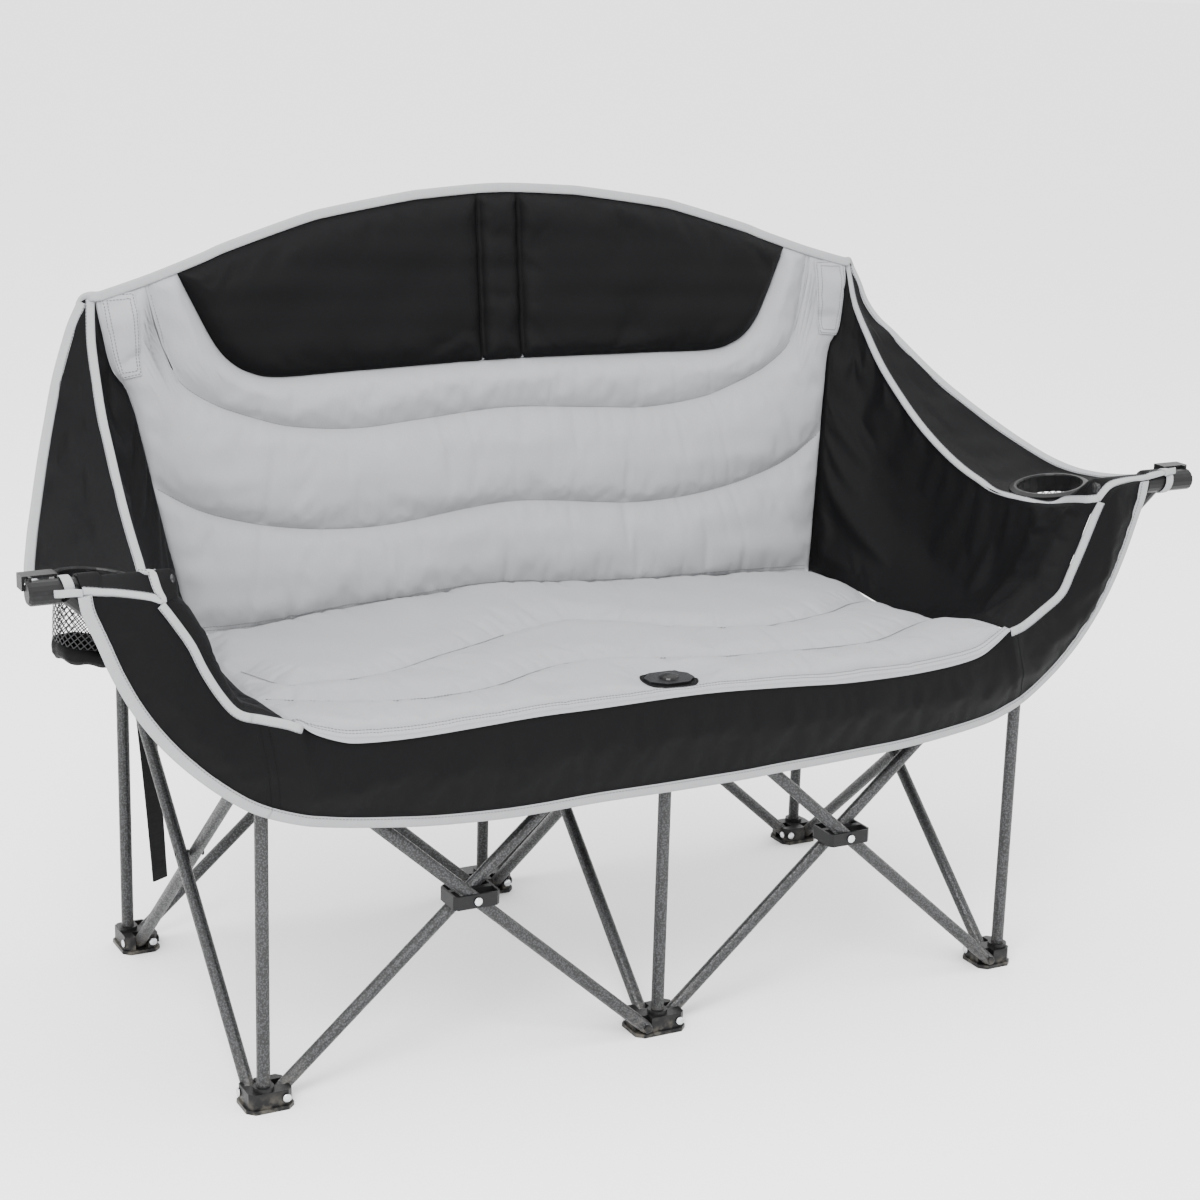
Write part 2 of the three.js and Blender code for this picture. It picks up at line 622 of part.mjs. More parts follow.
// The seat's upper face. It lies level over the brackets, dips between them and lifts at the corners.
const SEAT_LEVEL = SEAT_PIVOT_Z + BRACKET_TOP + GAP;
const CORNER_POWER = 6;
const SEAT_PUFF_DIVISIONS = 4; // facets over each puff of the seat
const SEAT_DIVISIONS = 16; // facets across the seat and the band under its edge
const FLAT_SHARE = 2 / SEAT_DIVISIONS; // share of the half width that stays level over the middle bracket
function seatBase(xShare) {
  const t = Math.max(0, (Math.abs(xShare) - FLAT_SHARE) / (1 - FLAT_SHARE));
  return SEAT_LEVEL - SEAT_SAG * bell(t) + SEAT_CORNER_RISE * Math.pow(t, CORNER_POWER);
}

function seatPad(y0, y1, half0, half1, puffs, crownAt) {
  const place = (u, v) => {
    const xShare = 2 * u - 1;
    return [xShare * mix(half0, half1, v), mix(y0, y1, v), xShare];
  };
  const upper = (u, v) => {
    const [x, y, xShare] = place(u, v);
    const level = Math.abs(xShare) < 1 ? SEAT_CROWN * crownAt(v) * bell(u) : 0;
    return [x, y, seatBase(xShare) + PAD_T + level - SEAT_CHANNEL_DEPTH * (1 - lobe(v, puffs))];
  };
  const lower = (u, v) => {
    const [x, y, xShare] = place(u, v);
    return [x, y, seatBase(xShare)];
  };
  return shell(upper, lower, SEAT_DIVISIONS, SEAT_PUFF_DIVISIONS * puffs);
}

const crossSplit = GAP / 2;
const frontPuffs = Math.round((SEAT_CHANNELS * (SEAT_SPLIT_Y - SEAT_FRONT_Y)) / (SEAT_REAR_Y - SEAT_FRONT_Y));
const halfAtSplit = mix(
  SEAT_FRONT_HALF,
  SEAT_REAR_HALF,
  (SEAT_SPLIT_Y - SEAT_FRONT_Y) / (SEAT_REAR_Y - SEAT_FRONT_Y),
);
const seatFront = seatPad(
  SEAT_FRONT_Y, SEAT_SPLIT_Y - crossSplit, SEAT_FRONT_HALF, halfAtSplit, frontPuffs, (v) => v,
);
const seatRear = seatPad(
  SEAT_SPLIT_Y + crossSplit, SEAT_REAR_Y, halfAtSplit, SEAT_REAR_HALF,
  SEAT_CHANNELS - frontPuffs, (v) => 1 - v,
);
// The fastener is let into the front pad and stands on the middle bracket by its stem.
const patchBottom = SEAT_LEVEL + PAD_T - SEAT_CHANNEL_DEPTH;
const patchOutline = chamfered(
  -PATCH_WIDTH / 2, PATCH_WIDTH / 2, -PATCH_DEPTH / 2, PATCH_DEPTH / 2, PATCH_WIDTH / 4,
);
const recess = chamfered(
  -PATCH_WIDTH / 2 - GAP, PATCH_WIDTH / 2 + GAP,
  -PATCH_DEPTH / 2 - GAP, PATCH_DEPTH / 2 + GAP,
  PATCH_WIDTH / 4,
);
const stemHole = rod([0, 0, 0], [0, 0, SEAT_LEVEL + PAD_T], STEM_R + GAP);
const pocketCut = plate(recess, patchBottom - GAP, patchBottom + PAD_T).add(stemHole);
add("seat_pad_front", geometryOf(seatFront.subtract(pocketCut.translate([0, FRONT_Y, 0]))), grey);
add("seat_pad_rear", geometryOf(seatRear), grey);

const dome = new THREE.SphereGeometry(PATCH_DOME_R, SIDES, FEW_SIDES);
dome.scale(1, PATCH_DOME_H / PATCH_DOME_R, 1);
const cap = solid(dome.rotateX(Math.PI / 2).translate(0, 0, PATCH_T)).subtract(
  box(-PATCH_WIDTH, PATCH_WIDTH, -PATCH_WIDTH, PATCH_WIDTH, -PATCH_WIDTH, PATCH_T / 2),
);
const stem = rod([0, 0, SEAT_LEVEL - patchBottom], [0, 0, PATCH_T], STEM_R);
const patch = joined([plate(patchOutline, 0, PATCH_T), cap, stem]);
add("seat_fastener", geometryOf(patch), plastic, 0, FRONT_Y, patchBottom);

// Back pad: leans back from the seat to the posts, arched on top, with cross puffs and post pockets.
const ARCH_POWER = 1.6;
const BACK_DIVISIONS = 20;
const PUFF_DIVISIONS = 4; // facets over each puff
const backTop = (xShare) =>
  BACK_CORNER_Z + (BACK_TOP_Z - BACK_CORNER_Z) * (1 - Math.pow(Math.abs(xShare), ARCH_POWER));
function backPlace(u, v) {
  const xShare = 2 * u - 1;
  const z = mix(BACK_BOTTOM_Z, backTop(xShare), v);
  const rise = (z - BACK_BOTTOM_Z) / (BACK_TOP_Z - BACK_BOTTOM_Z);
  const half = mix(BACK_BOTTOM_HALF, BACK_TOP_HALF, v);
  const y = mix(BACK_BOTTOM_Y, BACK_TOP_Y, rise);
  return [xShare * half, y, z];
}
function backFront(u, v) {
  const [x, y, z] = backPlace(u, v);
  const puff = BACK_CHANNEL_DEPTH * (lobe(v, BACK_CHANNELS) - 1) * bell(u);
  return [x, y - BACK_T - BACK_CROWN * bell(u) * bell(v) - puff, z];
}
let backPad = shell(backPlace, backFront, BACK_DIVISIONS, PUFF_DIVISIONS * BACK_CHANNELS);
for (const [column, x] of Object.entries(COLUMNS)) {
  const top = column === "middle" ? CENTRE_POST_TOP : BACK_POST_TOP;
  backPad = backPad.subtract(rod([x, BACK_Y, 0], [x, BACK_Y, top + GAP], POST_BORE));
}
add("back_pad", geometryOf(backPad), grey);

// Arm and side cloths hang between four edges that are smooth curves through hand-placed points:
// x in shares of the back's half width, y of the post rows' distance, z from the bar to the back's corner.
const outerArmShares = [
  [0.985, 1.03, 0.962], [1.041, 0.915, 0.875], [1.074, 0.87, 0.686], [1.11, 0.745, 0.55],
  [1.175, 0.474, 0.301], [1.238, 0.16, 0.1], [1.297, -0.17, -0.055], [1.335, -0.45, -0.074],
  [1.345, -0.75, -0.051], [1.35, -0.97, -0.002],
];
const innerArmShares = [
  [0.972, 0.93, 0.868], [1.0, 0.76, 0.641], [1.013, 0.594, 0.403], [1.02, 0.433, 0.252],
  [1.029, 0.265, 0.108], [1.052, -0.11, -0.108], [1.068, -0.325, -0.181], [1.085, -0.53, -0.178],
  [1.112, -0.76, -0.126], [1.13, -0.99, -0.028],
];
const cupShare = [1.1892, -0.4615, -0.138];
function armPlace([x, y, z], side) {
  const height = mix(ARM_BAR_Z, BACK_CORNER_Z, z);
  return new THREE.Vector3(side * x * BACK_TOP_HALF, y * BACK_Y, height);
}
function edgeCurve(shares, side) {
  return new THREE.CatmullRomCurve3(shares.map((share) => armPlace(share, side)));
}

function clothBetween(edgeA, edgeB, across, along, thickness, lift) {
  const point = (u, v) => edgeA(v).lerp(edgeB(v), u);
  const step = 1 / (4 * along);
  const normal = (u, v) => {
    const du = point(Math.min(1, u + step), v).sub(point(Math.max(0, u - step), v));
    const dv = point(u, Math.min(1, v + step)).sub(point(u, Math.max(0, v - step)));
    return du.cross(dv).normalize();
  };
  const offset = (d) => (u, v) => {
    const p = point(u, v).addScaledVector(normal(u, v), d);
    p.z += lift(u, v);
    return [p.x, p.y, p.z];
  };
  return shell(offset(thickness / 2), offset(-thickness / 2), across, along);
}

const ARM_SAG = -4;
const ARM_ACROSS = 4; // facets of an arm cloth, across and along
const ARM_ALONG = 16;
const SIDE_ACROSS = 6;
const SIDE_ALONG = 12;
const SIDE_START_SHARE = 0.02; // where on the arm's inner edge the side cloth starts and ends
const SIDE_END_SHARE = 0.9;
const SIDE_FRONT_INSET = 30; // the side cloth stops this far behind the front posts' row
const SIDE_HANG = 10; // its upper edge hangs this far below the arm's edge
for (const side of [-1, 1]) {
  const name = side < 0 ? "left" : "right";
  const holder = new THREE.Group();
  holder.position.copy(armPlace(cupShare, side));
  holder.rotation.y = -side * CUP_TILT;
  model.add(holder);
  add(`cup_ring_${name}`, ringShape, plastic, 0, 0, 0, holder);
  add(`cup_pocket_${name}`, pocketShape, net, 0, 0, 0, holder);
}

const clear = 2 * GAP; // between a cut cloth and what it was cut for
function clearOfBack(cloth, side) {
  const shifts = [[side * clear, 0, 0], [0, -clear, 0], [0, 0, clear], [0, 0, -clear]];
  return shifts.reduce((rest, shift) => rest.subtract(backPad.translate(shift)), cloth);
}

const biggest = (made) => made.decompose().sort((a, b) => b.volume() - a.volume())[0];

for (const side of [-1, 1]) {
  const name = side < 0 ? "left" : "right";
  const outer = edgeCurve(outerArmShares, side);
  const inner = edgeCurve(innerArmShares, side);
  const edgeOuter = (v) => outer.getPointAt(v);
  const edgeInner = (v) => inner.getPointAt(v);
  const sag = (u, v) => ARM_SAG * bell(u) * bell(v);
  let arm = clothBetween(edgeOuter, edgeInner, ARM_ACROSS, ARM_ALONG, CLOTH_T, sag);
  const hole = rod([0, 0, -POCKET_DEPTH], [0, 0, POCKET_DEPTH], CUP_RING_R + GAP, CUP_SIDES);
  const tilt = THREE.MathUtils.radToDeg(-side * CUP_TILT);
  arm = arm.subtract(hole.rotate([0, tilt, 0]).translate(armPlace(cupShare, side).toArray()));
  // It is cut clear of the back pad, the bar and the moulded end that carry it.
  arm = clearOfBack(arm, side);
  const across = (x0, x1, r) => rod([side * x0, FRONT_Y, ARM_BAR_Z], [side * x1, FRONT_Y, ARM_BAR_Z], r);
  arm = arm.subtract(across(0, ARM_BAR_OUTER, ARM_BAR_D / 2 + clear));
  arm = arm.subtract(across(FITTING_INNER - clear, ARM_BAR_OUTER, FITTING_D / 2 + clear));
  const socketTop = [side * ARM_JOINT_X, FRONT_Y + side * HUB_OFFSET, ARM_BAR_Z];
  const reach = STRUT_SOCKET + clear;
  const socketEnd = [
    socketTop[0] - side * Math.sin(LEAN) * reach,
    socketTop[1],
    socketTop[2] - Math.cos(LEAN) * reach,
  ];
  arm = arm.subtract(rod(socketTop, socketEnd, STRUT_SOCKET_R + clear));
  add(`arm_cloth_${name}`, geometryOf(biggest(arm)), black);

  // The side cloth closes the space between the arm's inner edge and the seat.
  const seatEdge = (v) => {
    const y = mix(BACK_BOTTOM_Y - BACK_T - 2 * CLOTH_T, FRONT_Y + SIDE_FRONT_INSET, v);
    const share = (y - SEAT_FRONT_Y) / (SEAT_REAR_Y - SEAT_FRONT_Y);
    const half = mix(SEAT_FRONT_HALF, SEAT_REAR_HALF, share) + CLOTH_T / 2 + GAP;
    return new THREE.Vector3(side * half, y, SEAT_LEVEL + PAD_T);
  };
  const armEdge = (v) => {
    const p = inner.getPointAt(mix(SIDE_START_SHARE, SIDE_END_SHARE, v));
    return new THREE.Vector3(p.x - side * CLOTH_T, p.y - 2 * CLOTH_T * (1 - v), p.z - SIDE_HANG);
  };
  const panel = clothBetween(armEdge, seatEdge, SIDE_ACROSS, SIDE_ALONG, CLOTH_T, () => 0);
  add(`side_cloth_${name}`, geometryOf(biggest(clearOfBack(panel, side))), black);
}

// Front band: a centre piece under the seat's edge and an end piece that runs up each strut.
const BAND_HIGH = 4; // facets of the band's centre from top to bottom
const BAND_ACROSS = 3; // facets of a band end, across and along
const BAND_ALONG = 12;
function bandCentre() {
  const surface = (y) => (u, v) => {
    const xShare = 2 * u - 1;
    const t = Math.abs(xShare);
    const rise = (BAND_END_BOTTOM_Z - BAND_BOTTOM_Z) * Math.pow(t, CORNER_POWER / 2);
    const bottom = BAND_BOTTOM_Z + rise;
    const top = seatBase(xShare) - GAP;
    return [xShare * SEAT_FRONT_HALF, mix(BAND_TOP_Y, BAND_BOTTOM_Y, v) + y, mix(top, bottom, v)];
  };
  return shell(surface(-CLOTH_T / 2), surface(CLOTH_T / 2), SEAT_DIVISIONS, BAND_HIGH);
}
add("front_band_centre", geometryOf(bandCentre()), black);

const bandInnerShares = [
  [0.9375, 0.7221], [1.008, 0.733], [1.054, 0.7535], [1.104, 0.808],
  [1.148, 0.871], [1.194, 0.935], [1.233, 0.9645],
];
const bandOuterShares = [
  [0.9375, 0.583], [1.081, 0.617], [1.192, 0.6915], [1.271, 0.781], [1.331, 0.881], [1.369, 0.9675],
];
const BAND_SCALE_X = CELL;
const BAND_SCALE_Z = ARM_BAR_Z;
for (const side of [-1, 1]) {
  const name = side < 0 ? "left" : "right";
  // It starts in line with the centre piece and ends just in front of the strut and its socket.
  const strutFace = FRONT_Y + side * HUB_OFFSET - STRUT_SOCKET_R - CLOTH_T / 2 - 2 * GAP;
  const edge = (shares) => {
    const steps = shares.length - 1;
    const points = shares.map(
      ([x, z], k) => {
        const y = mix(BAND_BOTTOM_Y, strutFace, k / steps);
        return new THREE.Vector3(side * x * BAND_SCALE_X, y, z * BAND_SCALE_Z);
      },
    );
    points[0].x = side * (SEAT_FRONT_HALF + GAP);
    const curve = new THREE.CatmullRomCurve3(points);
    return (v) => curve.getPointAt(v);
  };
  const end = clothBetween(
    edge(bandInnerShares), edge(bandOuterShares), BAND_ACROSS, BAND_ALONG, CLOTH_T, () => 0,
  );
  add(`front_band_${name}`, geometryOf(end), black);
}

// Storage strap that hangs from the left rear bracket.
const strapX = -CELL + STRAP_WIDTH / 2 + TUBE_R + GAP;
const strapY = BACK_Y - PIVOT_INSET - TUBE_R - 2 * GAP - RIVET_HEAD_H - STRAP_T / 2;
const strapTop = SEAT_PIVOT_Z + BRACKET_TOP - STRAP_TOP_BELOW;
const strap = box(-STRAP_WIDTH / 2, STRAP_WIDTH / 2, -STRAP_T / 2, STRAP_T / 2, STRAP_END_Z, strapTop);
add("storage_strap", geometryOf(strap), webbing, strapX, strapY);

// The part's origin is under the middle of its outline, on the floor.
const outline = new THREE.Box3().setFromObject(model, true);
model.position.set(0, -(outline.min.y + outline.max.y) / 2, 0);

export default model;
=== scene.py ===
"""Looks of a folding camping loveseat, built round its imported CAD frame.

Metres, +Z up. X runs across the seat and the sitter faces -Y. Tables of points are in millimetres.
"""

import json
import logging
import math
from dataclasses import dataclass
from enum import Enum

import bpy
import numpy as np
from mathutils import Matrix, Vector

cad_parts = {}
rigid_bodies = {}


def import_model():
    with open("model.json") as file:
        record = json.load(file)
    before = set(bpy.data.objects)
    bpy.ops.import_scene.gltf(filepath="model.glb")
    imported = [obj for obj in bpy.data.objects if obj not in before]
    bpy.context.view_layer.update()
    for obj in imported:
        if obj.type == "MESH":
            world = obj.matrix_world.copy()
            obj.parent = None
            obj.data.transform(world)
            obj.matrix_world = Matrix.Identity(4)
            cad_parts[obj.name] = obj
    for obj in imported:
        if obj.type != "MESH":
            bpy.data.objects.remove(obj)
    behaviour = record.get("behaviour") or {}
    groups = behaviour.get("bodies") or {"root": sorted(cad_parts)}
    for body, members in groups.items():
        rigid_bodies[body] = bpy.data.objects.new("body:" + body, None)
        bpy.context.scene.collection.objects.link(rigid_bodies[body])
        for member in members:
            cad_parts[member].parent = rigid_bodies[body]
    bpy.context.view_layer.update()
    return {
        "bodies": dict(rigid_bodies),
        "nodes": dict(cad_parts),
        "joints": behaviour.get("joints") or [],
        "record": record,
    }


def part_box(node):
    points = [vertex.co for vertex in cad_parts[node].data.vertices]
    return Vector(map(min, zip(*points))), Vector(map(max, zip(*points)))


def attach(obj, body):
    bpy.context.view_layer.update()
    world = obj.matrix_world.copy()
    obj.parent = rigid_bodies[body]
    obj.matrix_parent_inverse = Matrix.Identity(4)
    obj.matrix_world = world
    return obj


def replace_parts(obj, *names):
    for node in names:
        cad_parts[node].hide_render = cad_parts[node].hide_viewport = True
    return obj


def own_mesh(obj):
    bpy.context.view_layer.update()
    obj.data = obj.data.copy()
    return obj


LOG = logging.getLogger("loveseat")
MM = 0.001
Array = np.ndarray
Finish = bpy.types.Material
Socket = bpy.types.NodeSocket
Colour = tuple[float, float, float]

# Frame sizes that the looks share with the CAD, in metres
CELL = 0.52
FRONT_ROW = -0.24665
REAR_ROW = 0.27335
LOW_RIVET = 0.014
HIGH_RIVET = 0.433
RIVET_INSET = 0.024
HUB_OFFSET = 0.012
SIDE_OFFSET = 0.009
HALF_FOOT = 0.0125
BOSS = 0.0118
BAR_HEIGHT = 0.645
STRUTS = ("front_left_falling_tube", "front_right_rising_tube")

# Cloth: thickness of the arms, reach of a seam in the cloth solver, steepness and dents of the quilting
ARM_CLOTH = 0.0024
SEWN_REACH = 0.0035
RISE_POWER = 3.2
DENT = 0.0017

UP = np.array([0.0, 0.0, 1.0])


class Side(Enum):
    """Which arm of the seat a piece belongs to, by the sign of its X."""

    LEFT = -1
    RIGHT = 1

    @property
    def label(self) -> str:
        """Name used in the names of pieces and bodies."""
        return self.name.lower()


class Hold(Enum):
    """How a piece follows the fold."""

    RIGID = "rigid"
    NARROWS = "narrows"
    PULLS_BACK = "pulls back"


# Lines and grids


def spline(points: Array, steps: int) -> Array:
    """Values at even steps along a Catmull-Rom line through the first axis of points.

    Each span is a cubic through its ends, with slopes from its neighbours.
    """
    points = np.asarray(points, float)
    padded = np.concatenate([2 * points[:1] - points[1:2], points, 2 * points[-1:] - points[-2:-1]])
    t = np.linspace(0, len(points) - 1, steps)
    i = np.minimum(t.astype(int), len(points) - 2)
    f = (t - i).reshape(-1, *([1] * (points.ndim - 1)))
    a, b, c, d = (padded[i + k] for k in range(4))
    return 0.5 * (2 * b + (c - a) * f + (2 * a - 5 * b + 4 * c - d) * f**2 + (3 * b - a - 3 * c + d) * f**3)


def travelled(line: Array) -> Array:
    """Length from the start of a line to each of its points, the running sum of its steps."""
    return np.concatenate([[0.0], np.cumsum(np.linalg.norm(np.diff(line, axis=0), axis=1))])


def even(line: Array, count: int) -> Array:
    """The same line with count points at even steps of its length."""
    length = travelled(line)
    at = np.linspace(0, length[-1], count)
    return np.stack([np.interp(at, length, line[:, k]) for k in range(line.shape[1])], axis=1)


def smooth_line(points: object, count: int) -> Array:
    """Smooth line through points in millimetres, as count evenly spaced points in metres."""
    table = np.asarray(points, float) * MM
    return even(spline(table, 24 * len(table)), count)


def graph(x: Array, table: object, mirrored: bool = False) -> Array:
    """Heights of a smooth curve over x, from rows of x and height in mm; mirrored about x = 0 if asked."""
    rows = np.asarray(table, float)
    if mirrored:
        rows = np.concatenate([rows[:0:-1] * (-1, 1), rows])
    dense = spline(rows, 20 * len(rows))
    return np.interp(x / MM, dense[:, 0], dense[:, 1]) * MM


def unit(vectors: Array) -> Array:
    """Vectors scaled to length one."""
    return vectors / np.maximum(np.linalg.norm(vectors, axis=-1, keepdims=True), 1e-12)


def grid_normals(grid: Array) -> Array:
    """Unit normals of a grid: the cross product of its slopes in the two directions."""
    return unit(np.cross(np.gradient(grid, axis=0), np.gradient(grid, axis=1)))


def same(vector: object, count: int) -> Array:
    """One vector, repeated count times."""
    return np.tile(np.asarray(vector, float), (count, 1))


def beside(edge: Array, inside: Array) -> tuple[Array, Array]:
    """Unit vectors along an edge, and square to it towards a line just inside, point for point."""
    along = unit(np.gradient(edge, axis=0))
    inward = inside - edge
    return along, unit(inward - along * (inward * along).sum(1, keepdims=True))


def coords(*values: object) -> Array:
    """Points from their coordinates, which may be numbers or grids that fit each other."""
    return np.stack(np.broadcast_arrays(*values), axis=-1)


def eased(count: int) -> Array:
    """Shares from 0 to 1 in a column, closer together near both ends: half of 1 - cos."""
    return (1 - np.cos(np.linspace(0, math.pi, count)))[:, None] / 2


def step_up(values: Array, low: float, high: float) -> Array:
    """Smooth step 3t2 - 2t3, from 0 at low to 1 at high."""
    t = np.clip((values - low) / (high - low), 0, 1)
    return t * t * (3 - 2 * t)


def ripple(a: Array, b: Array, wavelength: float, seed: int, waves: int = 7) -> Array:
    """Soft uneven ripple over two coordinates, mostly between -1 and 1.

    It is the sum of a few sine waves of seeded directions and phases, their lengths near the one given, over
    the root of their number.
    """
    rng = np.random.default_rng(seed)
    total = np.zeros(np.broadcast(a, b).shape)
    for turn, phase, stretch in zip(
        rng.uniform(0, math.pi, waves), rng.uniform(0, 2 * math.pi, waves), rng.uniform(0.6, 1.6, waves)
    ):
        k = 2 * math.pi / (wavelength * stretch)
        total += np.sin(k * (a * math.cos(turn) + b * math.sin(turn)) + phase)
    return total / math.sqrt(waves)


def nearest(points: Array, line: Array) -> tuple[Array, Array]:
    """Distance from points in a plane to a line of straight spans, and how far along it they are nearest."""
    start, span = line[:-1], np.diff(line, axis=0)
    size = np.maximum((span**2).sum(1), 1e-12)
    t = np.clip(((points[:, None] - start) * span).sum(-1) / size, 0, 1)
    gap = np.linalg.norm(points[:, None] - start - t[..., None] * span, axis=-1)
    best = gap.argmin(1)
    rows = np.arange(len(points))
    return gap[rows, best], travelled(line)[best] + t[rows, best] * np.sqrt(size)[best]


def sample(values: Array, down: Array, across: Array) -> Array:
    """Values of a grid between its points, mixed from the four nearest; both shares run from 0 to 1."""
    rows, columns = values.shape[:2]
    a = np.clip(down, 0, 1) * (rows - 1)
    b = np.clip(across, 0, 1) * (columns - 1)
    i, j = np.minimum(a.astype(int), rows - 2), np.minimum(b.astype(int), columns - 2)
    f, g = a - i, b - j
    upper = values[i, j] * (1 - g) + values[i, j + 1] * g
    lower = values[i + 1, j] * (1 - g) + values[i + 1, j + 1] * g
    return upper * (1 - f) + lower * f


def creases(at: Array, gap: Array, seed: int) -> Array:
    """Short dents that leave a seam at right angles, at uneven places along it.

    A seeded sum of sines along the seam is cut off below a level, so that only its peaks dent the cloth, and
    each dent fades away from the seam.
    """
    rng = np.random.default_rng(seed)
    wave = np.zeros_like(at)
    for length in (0.047, 0.031, 0.022, 0.071):
        wave += np.sin(2 * math.pi * at / (length * rng.uniform(0.85, 1.15)) + rng.uniform(0, 2 * math.pi))
    reach = 0.018 + 0.010 * np.sin(at * 37 + seed)
    return np.maximum(wave - 0.7, 0) * np.exp(-gap / reach) * (1 - np.exp(-gap / 0.005))


def quilted(
    flat: Array, lines: list[tuple[Array, float]], seed: int, dents: tuple[float, ...]
) -> tuple[Array, Array]:
    """Form of a pad between its sewn lines.

    Beside each sewn line it rises as 1 - (1 - t)^3.2, and the lowest rise of all the lines counts. Dents
    leave the lines at right angles.

    Args:
        flat: Places, (count, 2).
        lines: Sewn lines, each with the width over which the pad rises beside it.
        seed: Seed of the first line's dents.
        dents: Depth of the dents beside the first lines.

    Returns:
        The share of its full rise at each place, and the depth of the dents there.
    """
    share, dented = np.ones(len(flat)), np.zeros(len(flat))
    for k, (line, reach) in enumerate(lines):
        gap, at = nearest(flat, line)
        share = np.minimum(share, 1 - (1 - np.clip(gap / reach, 0, 1)) ** RISE_POWER)
        if k < len(dents):
            dented += creases(at, gap, seed + k) * dents[k]
    return share, dented


def near_seams(flat: Array, lines: list[tuple[Array, float]]) -> Array:
    """True where a place is so near a sewn line that the cloth solver holds it."""
    return np.any([nearest(flat, line)[0] < SEWN_REACH for line, _ in lines], axis=0)


@dataclass(frozen=True)
class Drape:
    """One run of the cloth solver on a sheet whose sewn points stay put.

    Pressure pushes along the sheet's normals, and slack is the share by which the cloth is larger than its
    grid, which makes it fold between its seams. No point ends further than reach from where it began.
    """

    pressure: float
    slack: float
    reach: float
    stiffness: float = 25.0
    bending: float = 0.4
    weight: float = 0.0
    frames: int = 20

    def settle(self, name: str, grid: Array, sewn: Array) -> Array:
        """Runs the solver and returns the grid where its points came to rest.

        Args:
            name: Name of the passing object.
            grid: Points of the sheet.
            sewn: True where a point stays put.
        """
        mesh = bpy.data.meshes.new(name)
        mesh.from_pydata(grid.reshape(-1, 3).tolist(), [], quads_of(*grid.shape[:2]).tolist())
        made = bpy.data.objects.new(name, mesh)
        scene = bpy.context.scene
        scene.collection.objects.link(made)
        pins = made.vertex_groups.new(name="sewn")
        pins.add(np.flatnonzero(sewn.ravel()).tolist(), 1.0, "REPLACE")
        cloth = made.modifiers.new("cloth", "CLOTH")
        rules = cloth.settings
        rules.quality = 6
        rules.tension_stiffness = rules.compression_stiffness = self.stiffness
        rules.shear_stiffness = self.stiffness / 3
        rules.bending_stiffness = self.bending
        rules.shrink_min = -self.slack
        rules.use_pressure = True
        rules.uniform_pressure_force = self.pressure
        rules.effector_weights.gravity = self.weight
        rules.vertex_group_mass = pins.name
        cloth.collision_settings.use_collision = False
        cloth.point_cache.frame_start, cloth.point_cache.frame_end = 1, self.frames
        for frame in range(1, self.frames + 1):
            scene.frame_set(frame)
        settled = made.evaluated_get(bpy.context.evaluated_depsgraph_get()).to_mesh()
        points = np.zeros(grid.size, np.float32)
        settled.vertices.foreach_get("co", points)
        moved = points.reshape(grid.shape) - grid
        size = np.maximum(np.linalg.norm(moved, axis=-1, keepdims=True), 1e-9)
        bpy.data.objects.remove(made)
        scene.frame_set(1)
        LOG.info("%s settled, at most %.1f mm", name, size.max() / MM)
        return grid + moved * self.reach * np.tanh(size / self.reach) / size


def rim_of(grid: Array, rows: int = 1, columns: int = 1) -> Array:
    """True on the outermost rows and columns of a grid."""
    edge = np.ones(grid.shape[:2], bool)
    edge[rows:-rows, columns:-columns] = False
    return edge


# Meshes


@dataclass
class Form:
    """A closed mesh in the making: points, faces of four, end faces, cloth coordinates and face finishes."""

    points: Array
    quads: Array
    ends: list[list[int]]
    cloth: Array
    finish: Array

    @staticmethod
    def joined(forms: list["Form"]) -> "Form":
        """One form that holds several."""
        starts = np.cumsum([0] + [len(f.points) for f in forms[:-1]])
        return Form(
            np.concatenate([f.points for f in forms]),
            np.concatenate([f.quads + s for f, s in zip(forms, starts)]),
            [[int(v + s) for v in end] for f, s in zip(forms, starts) for end in f.ends],
            np.concatenate([f.cloth for f in forms]),
            np.concatenate([f.finish for f in forms]),
        )

    def outward(self) -> "Form":
        """The form with its faces turned outwards: where its signed volume is negative they are reversed."""
        p = self.points[self.quads]
        volume = np.einsum("ij,ij->", p[:, 0], np.cross(p[:, 1], p[:, 2]) + np.cross(p[:, 2], p[:, 3]))
        if volume < 0:
            self.quads = self.quads[:, ::-1]
            self.ends = [end[::-1] for end in self.ends]
        return self

    def piece(self, name: str, finishes: list[Finish]) -> bpy.types.Object:
        """Makes the object with these materials; edges between faces of different finish stay sharp."""
        mesh = bpy.data.meshes.new(name)
        faces = self.quads.tolist() + self.ends
        mesh.from_pydata(self.points.tolist(), [], faces)
        layer = mesh.uv_layers.new(name="cloth")
        corners = np.concatenate([self.quads.ravel(), *[np.array(end) for end in self.ends]]).astype(int)
        layer.data.foreach_set("uv", self.cloth[corners].astype(np.float32).ravel())
        finish = np.concatenate([self.finish, np.zeros(len(self.ends))]).astype(np.int32)
        mesh.polygons.foreach_set("material_index", np.minimum(finish, len(finishes) - 1).astype(np.int32))
        mesh.polygons.foreach_set("use_smooth", np.ones(len(faces), bool))
        for material in finishes:
            mesh.materials.append(material)
        sharp_where_finish_changes(mesh, finish)
        mesh.update()
        made = bpy.data.objects.new(name, mesh)
        bpy.context.scene.collection.objects.link(made)
        return made


